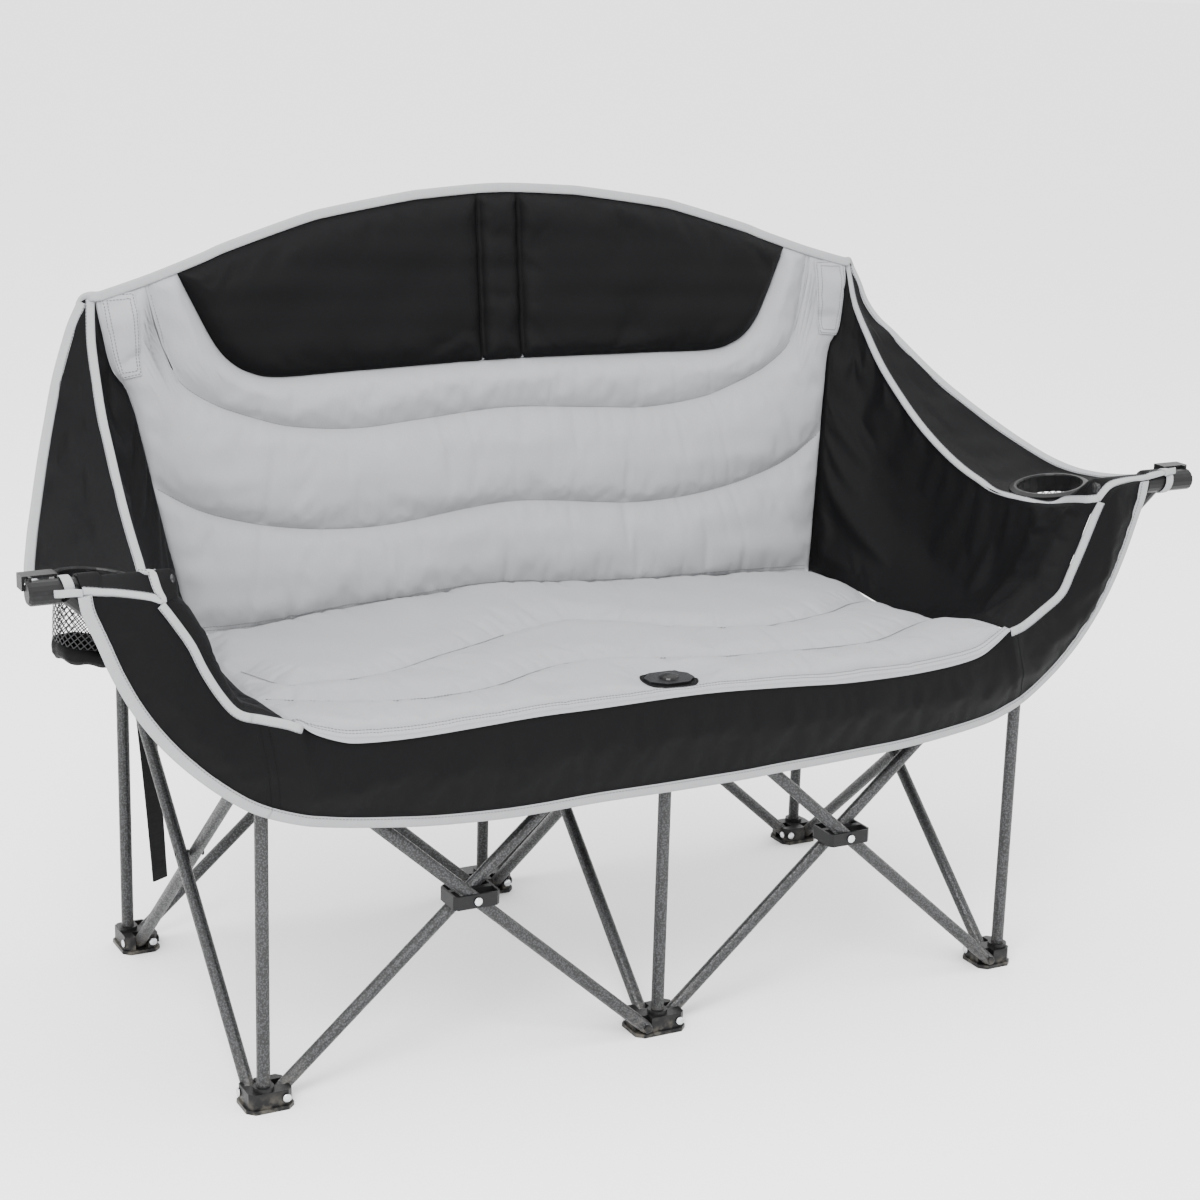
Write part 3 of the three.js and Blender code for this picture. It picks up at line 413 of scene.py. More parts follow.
def sharp_where_finish_changes(mesh: bpy.types.Mesh, finish: Array) -> None:
    """Marks as sharp each edge whose two faces have different finish numbers."""
    loops = np.zeros(len(mesh.loops), np.int32)
    mesh.loops.foreach_get("edge_index", loops)
    totals = np.zeros(len(mesh.polygons), np.int32)
    mesh.polygons.foreach_get("loop_total", totals)
    owner = np.repeat(finish, totals)
    low = np.full(len(mesh.edges), finish.max() + 1)
    high = np.full(len(mesh.edges), finish.min() - 1)
    np.minimum.at(low, loops, owner)
    np.maximum.at(high, loops, owner)
    attribute = mesh.attributes.new("sharp_edge", "BOOLEAN", "EDGE")
    attribute.data.foreach_set("value", low != high)


def quads_of(rows: int, columns: int, wraps: bool = False) -> Array:
    """Faces of a grid of points, joined round in the second direction where it wraps."""
    index = np.arange(rows * columns).reshape(rows, columns)
    if wraps:
        index = np.concatenate([index, index[:, :1]], axis=1)
    return np.stack([index[:-1, :-1], index[1:, :-1], index[1:, 1:], index[:-1, 1:]], axis=-1).reshape(-1, 4)


def cloth_lengths(grid: Array) -> Array:
    """Cloth coordinates in metres: mean running lengths across and along a grid."""
    across = np.linalg.norm(np.diff(grid, axis=1), axis=-1).mean(0)
    along = np.linalg.norm(np.diff(grid, axis=0), axis=-1).mean(1)
    u = np.concatenate([[0.0], np.cumsum(across)])
    v = np.concatenate([[0.0], np.cumsum(along)])
    return coords(u[None, :], v[:, None]).reshape(-1, 2)


def shell(outer: Array, inner: Array) -> Form:
    """Closed shell between two grids of the same size, with a rim of faces round their borders.

    Face finishes are 0 outside, 1 inside and 2 on the rim.
    """
    rows, columns = outer.shape[:2]
    count = rows * columns
    quads = quads_of(rows, columns)
    index = np.arange(count).reshape(rows, columns)
    ring = np.concatenate([index[0, :-1], index[:-1, -1], index[-1, :0:-1], index[:0:-1, 0]])
    after = np.roll(ring, -1)
    rim = coords(ring, after, after + count, ring + count)
    cloth = cloth_lengths(outer)
    return Form(
        np.concatenate([outer.reshape(-1, 3), inner.reshape(-1, 3)]),
        np.concatenate([quads, quads[:, ::-1] + count, rim]),
        [],
        np.concatenate([cloth, cloth]),
        np.repeat([0, 1, 2], [len(quads), len(quads), len(rim)]),
    ).outward()


def sheet_form(grid: Array, thickness: float) -> Form:
    """Cloth of even thickness: a shell half the thickness to each side of a grid, along its normals."""
    lift = grid_normals(grid) * thickness / 2
    return shell(grid + lift, grid - lift)


def oval(width: float, height: float, count: int = 12, square: float = 0.55) -> Array:
    """Closed profile of a flat oval: a cosine and a sine, each raised to a power below one."""
    t = np.linspace(0, 2 * math.pi, count, endpoint=False)
    a, b = np.cos(t), np.sin(t)
    return np.stack(
        [np.sign(a) * np.abs(a) ** square * width / 2, np.sign(b) * np.abs(b) ** square * height / 2], axis=1
    )


def tube(grid: Array, cloth: Array) -> Form:
    """Closed form through rings of points, with a face at each end."""
    count, sides = grid.shape[:2]
    last = (count - 1) * sides
    quads = quads_of(count, sides, wraps=True)
    ends = [list(range(sides)), list(range(last + sides - 1, last - 1, -1))]
    return Form(grid.reshape(-1, 3), quads, ends, cloth, np.zeros(len(quads), int)).outward()


def sweep(path: Array, across: Array, out: Array, profile: Array) -> Form:
    """Closed profile carried along a path: each point is path + across * first + out * second.

    Args:
        path: Points of the path, (count, 3).
        across: Unit vectors for the profile's first number.
        out: Unit vectors for its second.
        profile: (sides, 2), or (count, sides, 2) where it changes on the way.

    Returns:
        The form with a face at each end.
    """
    profile = np.broadcast_to(profile, (len(path), *profile.shape[-2:]))
    grid = path[:, None] + across[:, None] * profile[..., :1] + out[:, None] * profile[..., 1:]
    round_it = travelled(np.concatenate([profile[0], profile[0][:1]]))[:-1]
    cloth = coords(travelled(path)[:, None], round_it[None, :]).reshape(-1, 2)
    return tube(grid, cloth)


def tape_along(edge: Array, inside: Array, width: float, thickness: float, over: float = 0.0015) -> Form:
    """Binding tape folded over a cloth's edge: a flat oval carried along it, a little over the edge."""
    along, inward = beside(edge, inside)
    centre = edge + inward * (width / 2 - over)
    return sweep(centre, inward, np.cross(along, inward), oval(width, thickness, 14))


@dataclass(frozen=True)
class Stitch:
    """Size of one kind of sewing stitch, in metres."""

    pitch: float = 0.0042
    length: float = 0.0031
    radius: float = 0.00055

    def row(self, path: Array, normal: Array, lift: float = 0.0) -> Form:
        """A row of stitches: one small spindle, copied to even steps of a path and turned along it.

        Args:
            path: Points that the row follows.
            normal: Outward unit vectors of the cloth there.
            lift: How far the middle of a stitch stands off the path.

        Returns:
            All stitches as one form.
        """
        length = travelled(path)
        count = max(2, int(length[-1] / self.pitch))
        at = (np.arange(count) + 0.5) * length[-1] / count
        centre, out, along = (
            np.stack([np.interp(at, length, values[:, k]) for k in range(3)], axis=1)
            for values in (path, normal, np.gradient(path, axis=0))
        )
        out, along = unit(out), unit(along)
        sides = 4
        turn = np.arange(sides) * math.pi / 2
        lengths = np.array([-0.5, -0.3, 0.3, 0.5]) * self.length
        widths = np.array([0.25, 1.0, 1.0, 0.25])[:, None] * self.radius
        rings = [np.repeat(lengths, sides), (widths * np.cos(turn)).ravel(), (widths * np.sin(turn)).ravel()]
        frame = np.stack((along, np.cross(along, out), out), axis=1)
        points = (centre + out * lift)[:, None] + np.einsum("vk,nkc->nvc", np.stack(rings, axis=1), frame)
        size = len(lengths) * sides
        caps = np.array([[0, 1, 2, 3], [15, 14, 13, 12]])
        one = np.concatenate([quads_of(len(lengths), sides, wraps=True), caps])
        quads = (one[None] + (np.arange(count) * size)[:, None, None]).reshape(-1, 4)
        cloth = np.repeat(coords(at, at * 0), size, axis=0)
        return Form(points.reshape(-1, 3), quads, [], cloth, np.zeros(len(quads), int)).outward()


# Materials


def tint(colour: Colour, factor: float = 1.0) -> tuple[float, float, float, float]:
    """A colour made darker or lighter by a factor, with full cover."""
    return (*(min(1.0, c * factor) for c in colour), 1.0)


class Nodes:
    """Short way to write a node tree: adds nodes and joins them."""

    def __init__(self, tree: bpy.types.NodeTree) -> None:
        """Starts with an empty tree."""
        self.tree = tree
        tree.nodes.clear()

    def fill(self, node: bpy.types.Node, inputs: dict[object, object]) -> None:
        """Sets a node's inputs, by name or number, to values or joins them to output sockets."""
        for key, value in inputs.items():
            if isinstance(value, bpy.types.NodeSocket):
                self.tree.links.new(value, node.inputs[key])
            else:
                node.inputs[key].default_value = value

    def add(self, kind: str, inputs: dict[object, object] | None = None, **own: object) -> bpy.types.Node:
        """Adds a node with its own properties, and its inputs by name or number."""
        node = self.tree.nodes.new(kind)
        for key, value in own.items():
            setattr(node, key, value)
        self.fill(node, inputs or {})
        return node

    def maths(self, operation: str, *values: object) -> Socket:
        """Output of a Math node with these inputs."""
        return self.add("ShaderNodeMath", dict(enumerate(values)), operation=operation).outputs[0]

    def vector(self, operation: str, inputs: dict[int, object]) -> Socket:
        """Output of a Vector Math node with these inputs."""
        return self.add("ShaderNodeVectorMath", inputs, operation=operation).outputs[0]

    def wave(self, value: Socket, rate: float) -> Socket:
        """Absolute sine of a value times a rate."""
        return self.maths("ABSOLUTE", self.maths("SINE", self.maths("MULTIPLY", value, rate)))

    def noise(self, vector: Socket, scale: object, detail: float = 2.0) -> Socket:
        """Value of a Noise Texture."""
        return self.add("ShaderNodeTexNoise", {"Vector": vector, "Scale": scale, "Detail": detail}).outputs[0]

    def spread(self, value: Socket, low: object, high: object, to_low: float, to_high: float) -> Socket:
        """Value mapped smoothly from one span to another, and held at its ends."""
        inputs = {0: value, 1: low, 2: high, 3: to_low, 4: to_high}
        return self.add("ShaderNodeMapRange", inputs, interpolation_type="SMOOTHSTEP").outputs[0]

    def blend(self, factor: Socket, first: object, second: object) -> Socket:
        """Colour output of a Mix node."""
        return self.add("ShaderNodeMix", {0: factor, 6: first, 7: second}, data_type="RGBA").outputs[2]

    def effect(self, tree: bpy.types.NodeTree, **inputs: object) -> bpy.types.bpy_prop_collection:
        """Outputs of a node group with these inputs."""
        return self.add("ShaderNodeGroup", inputs, node_tree=tree).outputs

    def bump(self, height: Socket, distance: float, strength: float) -> Socket:
        """Normal of a Bump node."""
        inputs = {"Height": height, "Distance": distance, "Strength": strength}
        return self.add("ShaderNodeBump", inputs).outputs[0]

    def in_object(self) -> Socket:
        """Place in the object's own coordinates."""
        return self.add("ShaderNodeTexCoord").outputs["Object"]

    def in_cloth(self) -> Socket:
        """Place along and across the cloth, in metres."""
        return self.add("ShaderNodeUVMap", uv_map="cloth").outputs[0]


def group(
    name: str, inputs: dict[str, float], outputs: tuple[str, ...]
) -> tuple[Nodes, dict[str, Socket], bpy.types.Node]:
    """Starts a shader node group with one vector input, and numbers for the rest.

    Returns:
        Its nodes, the output sockets of its inputs, and the node that takes its outputs.
    """
    tree = bpy.data.node_groups.new(name, "ShaderNodeTree")
    tree.interface.new_socket("Vector", in_out="INPUT", socket_type="NodeSocketVector")
    for label, value in inputs.items():
        tree.interface.new_socket(label, in_out="INPUT", socket_type="NodeSocketFloat").default_value = value
    for label in outputs:
        tree.interface.new_socket(label, in_out="OUTPUT", socket_type="NodeSocketFloat")
    nodes = Nodes(tree)
    source = nodes.add("NodeGroupInput")
    return nodes, {k: source.outputs[k] for k in ("Vector", *inputs)}, nodes.add("NodeGroupOutput")


class Effects:
    """Surface effects that several finishes share, each a node group that is built once."""

    def __init__(self) -> None:
        """Builds every group."""
        self.weave = self._weave()
        self.blotches = self._blotches()
        self.hammered = self._hammered()
        self.grain = self._grain()
        self.dust = self._dust()
        self.netting = self._netting()

    @staticmethod
    def _weave() -> bpy.types.NodeTree:
        """Plain weave: over and under threads, each rounded by the absolute sine of its own direction."""
        n, i, out = group("plain_weave", {"Threads": 1800.0}, ("Height", "Slub"))
        scaled = n.vector("SCALE", {0: i["Vector"], 3: i["Threads"]})
        first, second = n.add("ShaderNodeSeparateXYZ", {0: scaled}).outputs[:2]
        whole = n.maths("ADD", n.maths("FLOOR", first), n.maths("FLOOR", second))
        turn = n.maths("FLOORED_MODULO", whole, 2.0)
        threads = {0: turn, 2: n.wave(first, math.pi), 3: n.wave(second, math.pi)}
        height = n.add("ShaderNodeMix", threads, data_type="FLOAT").outputs[0]
        stretched = n.vector("MULTIPLY", {0: scaled, 1: (0.55, 0.06, 0.4)})
        n.fill(out, {"Height": height, "Slub": n.noise(stretched, 1.0)})
        return n.tree

    @staticmethod
    def _blotches() -> bpy.types.NodeTree:
        """Soft uneven patches: two sizes of noise, multiplied and spread to 0..1."""
        n, i, out = group("blotches", {"Scale": 20.0}, ("Mask",))
        broad = n.noise(i["Vector"], i["Scale"], 3.0)
        small = n.noise(i["Vector"], n.maths("MULTIPLY", i["Scale"], 6.0))
        mixed = n.maths("ADD", n.maths("MULTIPLY", broad, 0.65), n.maths("MULTIPLY", small, 0.35))
        n.fill(out, {"Mask": n.spread(mixed, 0.35, 0.65, 0.0, 1.0)})
        return n.tree

    @staticmethod
    def _hammered() -> bpy.types.NodeTree:
        """Hammered paint: rounded cells of a distorted Voronoi pattern, with dark valleys between."""
        n, i, out = group("hammered_paint", {"Cells": 330.0}, ("Dome", "Height"))
        inputs = {"Vector": i["Vector"], "Scale": i["Cells"], "Detail": 1.0}
        wander = n.vector("SCALE", {0: n.add("ShaderNodeTexNoise", inputs).outputs[1], 3: 0.0022})
        moved = n.vector("ADD", {0: i["Vector"], 1: wander})
        cells = n.add("ShaderNodeTexVoronoi", {"Vector": moved, "Scale": i["Cells"]}, feature="F1")
        distance = cells.outputs["Distance"]
        height = n.maths("SUBTRACT", 1.0, n.maths("MULTIPLY", distance, distance))
        n.fill(out, {"Dome": n.spread(distance, 0.25, 0.62, 1.0, 0.0), "Height": height})
        return n.tree

    @staticmethod
    def _grain() -> bpy.types.NodeTree:
        """Spark-eroded moulding grain: fine noise, and broad drawn-out scuffs."""
        n, i, out = group("moulded_grain", {"Scale": 900.0}, ("Height", "Scuff"))
        drawn = n.vector("MULTIPLY", {0: i["Vector"], 1: (1.0, 0.35, 1.6)})
        scuff = n.noise(drawn, n.maths("MULTIPLY", i["Scale"], 0.08), 4.0)
        fine = n.noise(i["Vector"], i["Scale"], 3.0)
        n.fill(out, {"Height": fine, "Scuff": n.spread(scuff, 0.56, 0.7, 0.0, 1.0)})
        return n.tree

    @staticmethod
    def _dust() -> bpy.types.NodeTree:
        """Dust that settles near the ground: a fade over height, broken up by noise."""
        n, i, out = group("ground_dust", {"Height": 0.06}, ("Mask",))
        up = n.add("ShaderNodeSeparateXYZ", {0: i["Vector"]}).outputs[2]
        broken = n.spread(n.noise(i["Vector"], 90.0, 3.0), 0.4, 0.7, 0.0, 1.0)
        n.fill(out, {"Mask": n.maths("MULTIPLY", n.spread(up, 0.0, i["Height"], 1.0, 0.0), broken)})
        return n.tree

    @staticmethod
    def _netting() -> bpy.types.NodeTree:
        """Open net: two families of slanted threads, each a thin band of the absolute sine."""
        n, i, out = group("open_net", {"Cells": 240.0, "Thread": 0.3}, ("Cover", "Height"))
        scaled = n.vector("SCALE", {0: i["Vector"], 3: i["Cells"]})
        first, second = n.add("ShaderNodeSeparateXYZ", {0: scaled}).outputs[:2]
        bands = [n.wave(n.maths(way, first, second), math.pi / 2) for way in ("ADD", "SUBTRACT")]
        thread = n.maths("MINIMUM", *bands)
        cover = n.maths("LESS_THAN", thread, i["Thread"])
        n.fill(out, {"Cover": cover, "Height": n.maths("SUBTRACT", 1.0, thread)})
        return n.tree


@dataclass(frozen=True)
class Cloth:
    """Woven polyester: colour, weave, slubs and a faint unevenness."""

    name: str
    colour: Colour
    threads: float = 1700.0
    relief: float = 0.00012
    uneven: float = 0.10
    roughness: float = 0.85
    sheen: float = 0.12
    shine: float = 0.4

    def material(self, effects: Effects) -> Finish:
        """Builds the cloth from the weave and blotches groups."""
        made, n, shader = blank_material(self.name)
        weave = n.effect(effects.weave, Vector=n.in_cloth(), Threads=self.threads)
        patches = n.effect(effects.blotches, Vector=n.in_object(), Scale=9.0)
        dark, light = tint(self.colour, 1 - self.uneven), tint(self.colour, 1 + self.uneven)
        slubbed = n.blend(weave["Slub"], dark, light)
        deep = tint(self.colour, 1 - self.uneven * 0.8)
        inputs = {
            "Base Color": n.blend(n.maths("MULTIPLY", patches["Mask"], 0.4), slubbed, deep),
            "Roughness": n.spread(weave["Slub"], 0.2, 0.8, self.roughness - 0.06, self.roughness + 0.06),
            "Sheen Weight": self.sheen,
            "Sheen Roughness": 0.4,
            "Specular IOR Level": self.shine,
            "Normal": n.bump(weave["Height"], self.relief, 0.6),
        }
        n.fill(shader, inputs)
        return made


@dataclass(frozen=True)
class HammeredPaint:
    """Dark hammered paint on steel tube: glossy domes over nearly black valleys."""

    name: str
    dome: Colour
    valley: Colour
    cells: float = 330.0
    relief: float = 0.0003

    def material(self, effects: Effects) -> Finish:
        """Builds the paint from the hammered and dust groups."""
        made, n, shader = blank_material(self.name)
        place = n.in_object()
        cells = n.effect(effects.hammered, Vector=place, Cells=self.cells)
        dust = n.effect(effects.dust, Vector=place)
        painted = n.blend(cells["Dome"], tint(self.valley), tint(self.dome))
        inputs = {
            "Base Color": n.blend(n.maths("MULTIPLY", dust["Mask"], 0.25), painted, (0.2, 0.18, 0.15, 1)),
            "Roughness": n.spread(cells["Dome"], 0.0, 1.0, 0.55, 0.3),
            "Metallic": n.spread(cells["Dome"], 0.0, 1.0, 0.1, 0.4),
            "Normal": n.bump(cells["Height"], self.relief, 0.7),
        }
        n.fill(shader, inputs)
        return made


@dataclass(frozen=True)
class Moulding:
    """Moulded nylon: fine grain, with paler scuffs and a little dust low down."""

    name: str
    colour: Colour
    scuff: Colour
    roughness: float = 0.42

    def material(self, effects: Effects) -> Finish:
        """Builds the plastic from the grain and dust groups."""
        made, n, shader = blank_material(self.name)
        place = n.in_object()
        grain = n.effect(effects.grain, Vector=place, Scale=900.0)
        dust = n.effect(effects.dust, Vector=place, Height=0.03)
        scuffed = n.blend(n.maths("MULTIPLY", grain["Scuff"], 0.5), tint(self.colour), tint(self.scuff))
        inputs = {
            "Base Color": n.blend(n.maths("MULTIPLY", dust["Mask"], 0.35), scuffed, (0.16, 0.145, 0.12, 1)),
            "Roughness": n.spread(grain["Height"], 0.3, 0.7, self.roughness - 0.06, self.roughness + 0.1),
            "Specular IOR Level": 0.2,
            "Normal": n.bump(grain["Height"], 0.00008, 0.5),
        }
        n.fill(shader, inputs)
        return made


@dataclass(frozen=True)
class Steel:
    """Plated steel: brushed colour changes and fine scratches."""

    name: str
    colour: Colour
    roughness: float = 0.28

    def material(self, effects: Effects) -> Finish:
        """Builds the metal from the grain group."""
        made, n, shader = blank_material(self.name)
        grain = n.effect(effects.grain, Vector=n.in_object(), Scale=1400.0)
        inputs = {
            "Base Color": n.blend(grain["Scuff"], tint(self.colour), tint(self.colour, 0.75)),
            "Roughness": n.spread(grain["Height"], 0.3, 0.7, self.roughness - 0.05, self.roughness + 0.12),
            "Metallic": 1.0,
            "Normal": n.bump(grain["Height"], 0.00004, 0.4),
        }
        n.fill(shader, inputs)
        return made


@dataclass(frozen=True)
class Net:
    """Black knitted net with open diamonds."""

    name: str
    colour: Colour
    cells: float = 240.0
    thread: float = 0.3

    def material(self, effects: Effects) -> Finish:
        """Builds the net from the netting and blotches groups, open where no thread runs."""
        made, n, shader = blank_material(self.name)
        cloth = n.in_cloth()
        net = n.effect(effects.netting, Vector=cloth, Cells=self.cells, Thread=self.thread)
        patches = n.effect(effects.blotches, Vector=cloth, Scale=60.0)
        inputs = {
            "Base Color": n.blend(patches["Mask"], tint(self.colour), tint(self.colour, 2.0)),
            "Alpha": net["Cover"],
            "Roughness": 0.7,
            "Normal": n.bump(net["Height"], 0.0004, 0.6),
        }
        n.fill(shader, inputs)
        return made


def blank_material(name: str) -> tuple[Finish, Nodes, bpy.types.Node]:
    """A material with only its output and a Principled shader, its nodes, and the shader."""
    made = bpy.data.materials.new(name)
    made.use_nodes = True
    nodes = Nodes(made.node_tree)
    shader = nodes.add("ShaderNodeBsdfPrincipled")
    nodes.add("ShaderNodeOutputMaterial", {"Surface": shader.outputs[0]})
    return made, nodes, shader


@dataclass
class Finishes:
    """Every finish of the chair, built once."""

    grey: Finish
    black: Finish
    tape: Finish
    webbing: Finish
    grey_thread: Finish
    black_thread: Finish
    net: Finish
    paint: Finish
    inner_tube: Finish
    moulding: Finish
    rubber: Finish
    steel: Finish

    @staticmethod
    def made() -> "Finishes":
        """Builds the effects and all the finishes, in the order of the fields."""
        thread = {"threads": 2600.0}
        nylon = {"colour": (0.0045, 0.0045, 0.005), "scuff": (0.012, 0.012, 0.013)}
        soft_black = (0.004, 0.004, 0.0045)
        finishes = (
            Cloth("grey_polyester", (0.245, 0.249, 0.259), sheen=0.04),
            Cloth(
                "black_polyester", (0.0026, 0.0026, 0.0030), uneven=0.2, roughness=0.55, sheen=0.0, shine=0.07
            ),
            Cloth("pale_binding", (0.265, 0.269, 0.277), threads=1100.0, relief=0.0003, sheen=0.04),
            Cloth("black_webbing", soft_black, threads=650.0, sheen=0.0, shine=0.2, relief=0.0004),
            Cloth("grey_thread", (0.105, 0.107, 0.112), sheen=0.05, **thread),
            Cloth("black_thread", soft_black, sheen=0.0, shine=0.1, **thread),
            Net("black_net", (0.005, 0.005, 0.006)),
            HammeredPaint("hammered_grey", (0.042, 0.043, 0.046), (0.0015, 0.0015, 0.0018), cells=420.0),
            HammeredPaint(
                "satin_inner_tube", (0.15, 0.153, 0.16), (0.12, 0.123, 0.13), cells=900.0, relief=0.00004
            ),
            Moulding("black_moulding", **nylon),
            Moulding("black_button", roughness=0.3, **nylon),
            Steel("plated_steel", (0.62, 0.63, 0.65)),
        )
        effects = Effects()
        return Finishes(*(finish.material(effects) for finish in finishes))


# How pieces follow the frame


@dataclass(frozen=True)
class Mount:
    """What a piece rides on and how it follows the fold; the side is that of the arm it belongs to."""

    body: str
    hold: Hold = Hold.NARROWS
    side: Side | None = None

    def fasten(self, made: bpy.types.Object) -> None:
        """Hangs a piece on the body, gives it a mesh of its own where it narrows, or pulls back with a side,
        and logs how it holds.
        """
        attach(made, self.body)
        if self.hold is Hold.NARROWS:
            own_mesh(made)
        if self.hold is Hold.PULLS_BACK and self.side is not None:
            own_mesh(made)
        LOG.info("%s rides on %s, %s", made.name, self.body, self.hold.value)

    def hang(self, name: str, form: Form, finishes: list[Finish], slot: str = "") -> bpy.types.Object:
        """Makes a piece from a form and fastens it."""
        made = form.piece(name, finishes)
        self.fasten(made)
        return made


def cloth_sheet(grid: Array) -> None:
    """Works out a stretched sheet's flat size, the longest line of its grid in each direction, and its area;
    nothing uses them.
    """
    across = np.linalg.norm(np.diff(grid, axis=1), axis=-1).sum(1)
    along = np.linalg.norm(np.diff(grid, axis=0), axis=-1).sum(0)
    corners = grid[:-1, :-1], grid[1:, :-1], grid[1:, 1:], grid[:-1, 1:]
    area = np.linalg.norm(np.cross(corners[2] - corners[0], corners[3] - corners[1]), axis=-1).sum() / 2
    width, length = float(across.max()), float(along.max())
    area = min(float(area), width * length)


@dataclass(frozen=True)
class Binding:
    """One kind of binding: pale tape over an edge, with a row of stitches near its inner side.

    The stitches run at a share of the tape's width, on the side that faces outward, which is judged over the
    first share of the edge.
    """

    thickness: float
    spacing: float
    lift: float
    outward: tuple[float, float, float]
    judged: float = 1.0
    fewest: int = 2
    row_at: float = 0.78

    def sew(
        self, finishes: Finishes, names: str, edge: Array, inside: Array, width: float, mount: Mount
    ) -> None:
        """Makes the tape and its stitches.

        Args:
            finishes: The chair's finishes.
            names: Name of both, with braces where the kind goes.
            edge: The cloth's edge.
            inside: A neighbouring line just inside the cloth.
            width: Width of the folded tape.
            mount: What both ride on.
        """
        count = max(self.fewest, int(travelled(edge)[-1] / self.spacing))
        edge, inside = even(edge, count), even(inside, count)
        tape = tape_along(edge, inside, width, self.thickness)
        along, inward = beside(edge, inside)
        normal = unit(np.cross(along, inward))
        normal *= np.sign((normal[: int(count * self.judged)] @ np.array(self.outward)).mean())
        row = Stitch().row(edge + inward * (width * self.row_at) + normal * self.lift, normal)
        mount.hang(names.format("binding"), tape, [finishes.tape], "grey_cloth")
        mount.hang(names.format("stitching"), row, [finishes.grey_thread], "grey_cloth")


# The back rest


@dataclass
class BackRest:
    """Padded back that leans against the rear posts, with sewn channels, a black head panel and piping."""

    finishes: Finishes
    thickness: float = 0.018
    puff: float = 0.0155
    spread: float = 0.056
    panel_half: float = 0.4455
    mount: Mount = Mount("rear_middle_leg")
    swell: Array | None = None

    half_table = (
        (444, 462), (600, 487), (700, 503), (755, 514), (785, 532), (830, 541), (876, 547), (1000, 549),
    )
    top_table = (
        (0, 997), (97, 992), (136, 988), (234, 973), (276, 964), (376, 934), (411, 921), (473, 900),
        (510, 889), (543, 880), (566, 876),
    )
    seam_a = (
        (0, 705), (130, 697), (214, 692), (297, 699), (350, 713), (408, 736), (451, 770), (468, 830),
        (482, 893), (496, 960),
    )
    seam_b = (
        (0, 581), (64, 577), (166, 566), (236, 565), (305, 571), (372, 584), (436, 605), (495, 640),
        (560, 680),
    )
    panel_edge = (
        (0, 768), (200, 765), (315, 763), (355, 771), (380, 786), (400, 811), (425, 861), (440, 893),
        (458, 935),
    )
    foot_table = (
        (-470, 449), (-364, 450), (-268, 457), (-169, 462), (-68, 468), (6, 466), (66, 460), (190, 453),
        (318, 450), (470, 444),
    )

    def half(self, z: Array) -> Array:
        """Half width at a height: it widens from the seat up, more so round the corner posts."""
        return graph(z, self.half_table)

    def plane(self, z: Array) -> Array:
        """Y of the sewn lines: a straight lean that eases upright near the top, where the posts are."""
        return 0.178 + 0.184 * (z - 0.452) - 0.06 * np.maximum(z - 0.80, 0)

    def top(self, x: Array) -> Array:
        """Height of the arched top edge."""
        return graph(x, self.top_table, mirrored=True)

    def foot(self, x: Array) -> Array:
        """Height of the lower edge, which lies on the seat."""
        return graph(x, self.foot_table)

    def border_a(self, x: Array) -> Array:
        """Height of the upper sewn line, which ends just under the top edge."""
        return np.minimum(graph(x, self.seam_a, mirrored=True), self.top(x) - 0.005)

    def border_b(self, x: Array) -> Array:
        """Height of the lower sewn line."""
        return graph(x, self.seam_b, mirrored=True)

    def border_panel(self, x: Array) -> Array:
        """Height of the head panel's lower edge, kept between the upper sewn line and the top edge."""
        edge = graph(x, self.panel_edge, mirrored=True)
        return np.clip(edge, self.border_a(x) + 0.001, self.top(x) - 0.003)

    def lines(self) -> list[tuple[Array, float]]:
        """Sewn lines in x and z, each with the width over which the pad rises beside it."""
        x = np.linspace(-0.56, 0.56, 500)
        sleeve = np.array([[0.029, 0.768], [0.029, 0.990]])
        rows = (
            (self.border_a(x), self.spread),
            (self.border_b(x), self.spread),
            (self.foot(x), self.spread),
            (self.border_panel(x), 0.034),
            (self.top(x) - 0.011, 0.026),
        )
        drawn = [(even(coords(x, z), 160), reach) for z, reach in rows]
        return [*drawn, (sleeve, 0.027), (sleeve * (-1, 1), 0.027)]

    def rise(self, x: Array, z: Array) -> Array:
        """How far the pad stands out of the sewn plane: not at all under the top tape and at the sides."""
        flat = coords(np.ravel(x), np.ravel(z))
        share, dents = quilted(flat, self.lines(), 11, (DENT,) * 3)
        dents *= 1 - step_up(np.abs(flat[:, 0]), 0.40, 0.46)
        side = np.clip(np.abs(flat[:, 0]) / self.half(flat[:, 1]), 0, 1)
        edge = np.sqrt(np.clip(1 - side**18, 0, 1)) * (flat[:, 1] < self.top(flat[:, 0]) - 0.011)
        slack = 0.0012 * ripple(flat[:, 0], flat[:, 1] * 1.8, 0.12, 3)
        return ((self.puff * share - dents + slack * share) * edge).reshape(np.shape(x))

    def front(self, x: Array, z: Array) -> Array:
        """Y of the front face, with what the cloth solver added."""
        y = self.plane(z) - self.rise(x, z)
        if self.swell is not None:
            low, high = self.foot(x), self.top(x)
            y = y - sample(self.swell, (z - low) / (high - low), x / self.half(z) / 2 + 0.5)
        return y

    def on_front(self, x: Array, z: Array, lift: float = 0.0) -> tuple[Array, Array]:
        """Points on the front face and its outward unit normals, from the face's slopes."""
        step = 0.001
        slope_x = (self.front(x + step, z) - self.front(x - step, z)) / (2 * step)
        slope_z = (self.front(x, z + step) - self.front(x, z - step)) / (2 * step)
        normal = unit(coords(slope_x, -np.ones_like(slope_x), slope_z))
        points = coords(x, self.front(x, z), z)
        return points + normal * lift, normal

    def between(self, u: Array, share: Array, low: object, high: object) -> tuple[Array, Array]:
        """X and height at a share of the way between two lines, where x is u times the half width there."""
        x = u * 0.5
        for _ in range(5):
            z = low(x) * (1 - share) + high(x) * share
            x = u * self.half(z)
        return x, z

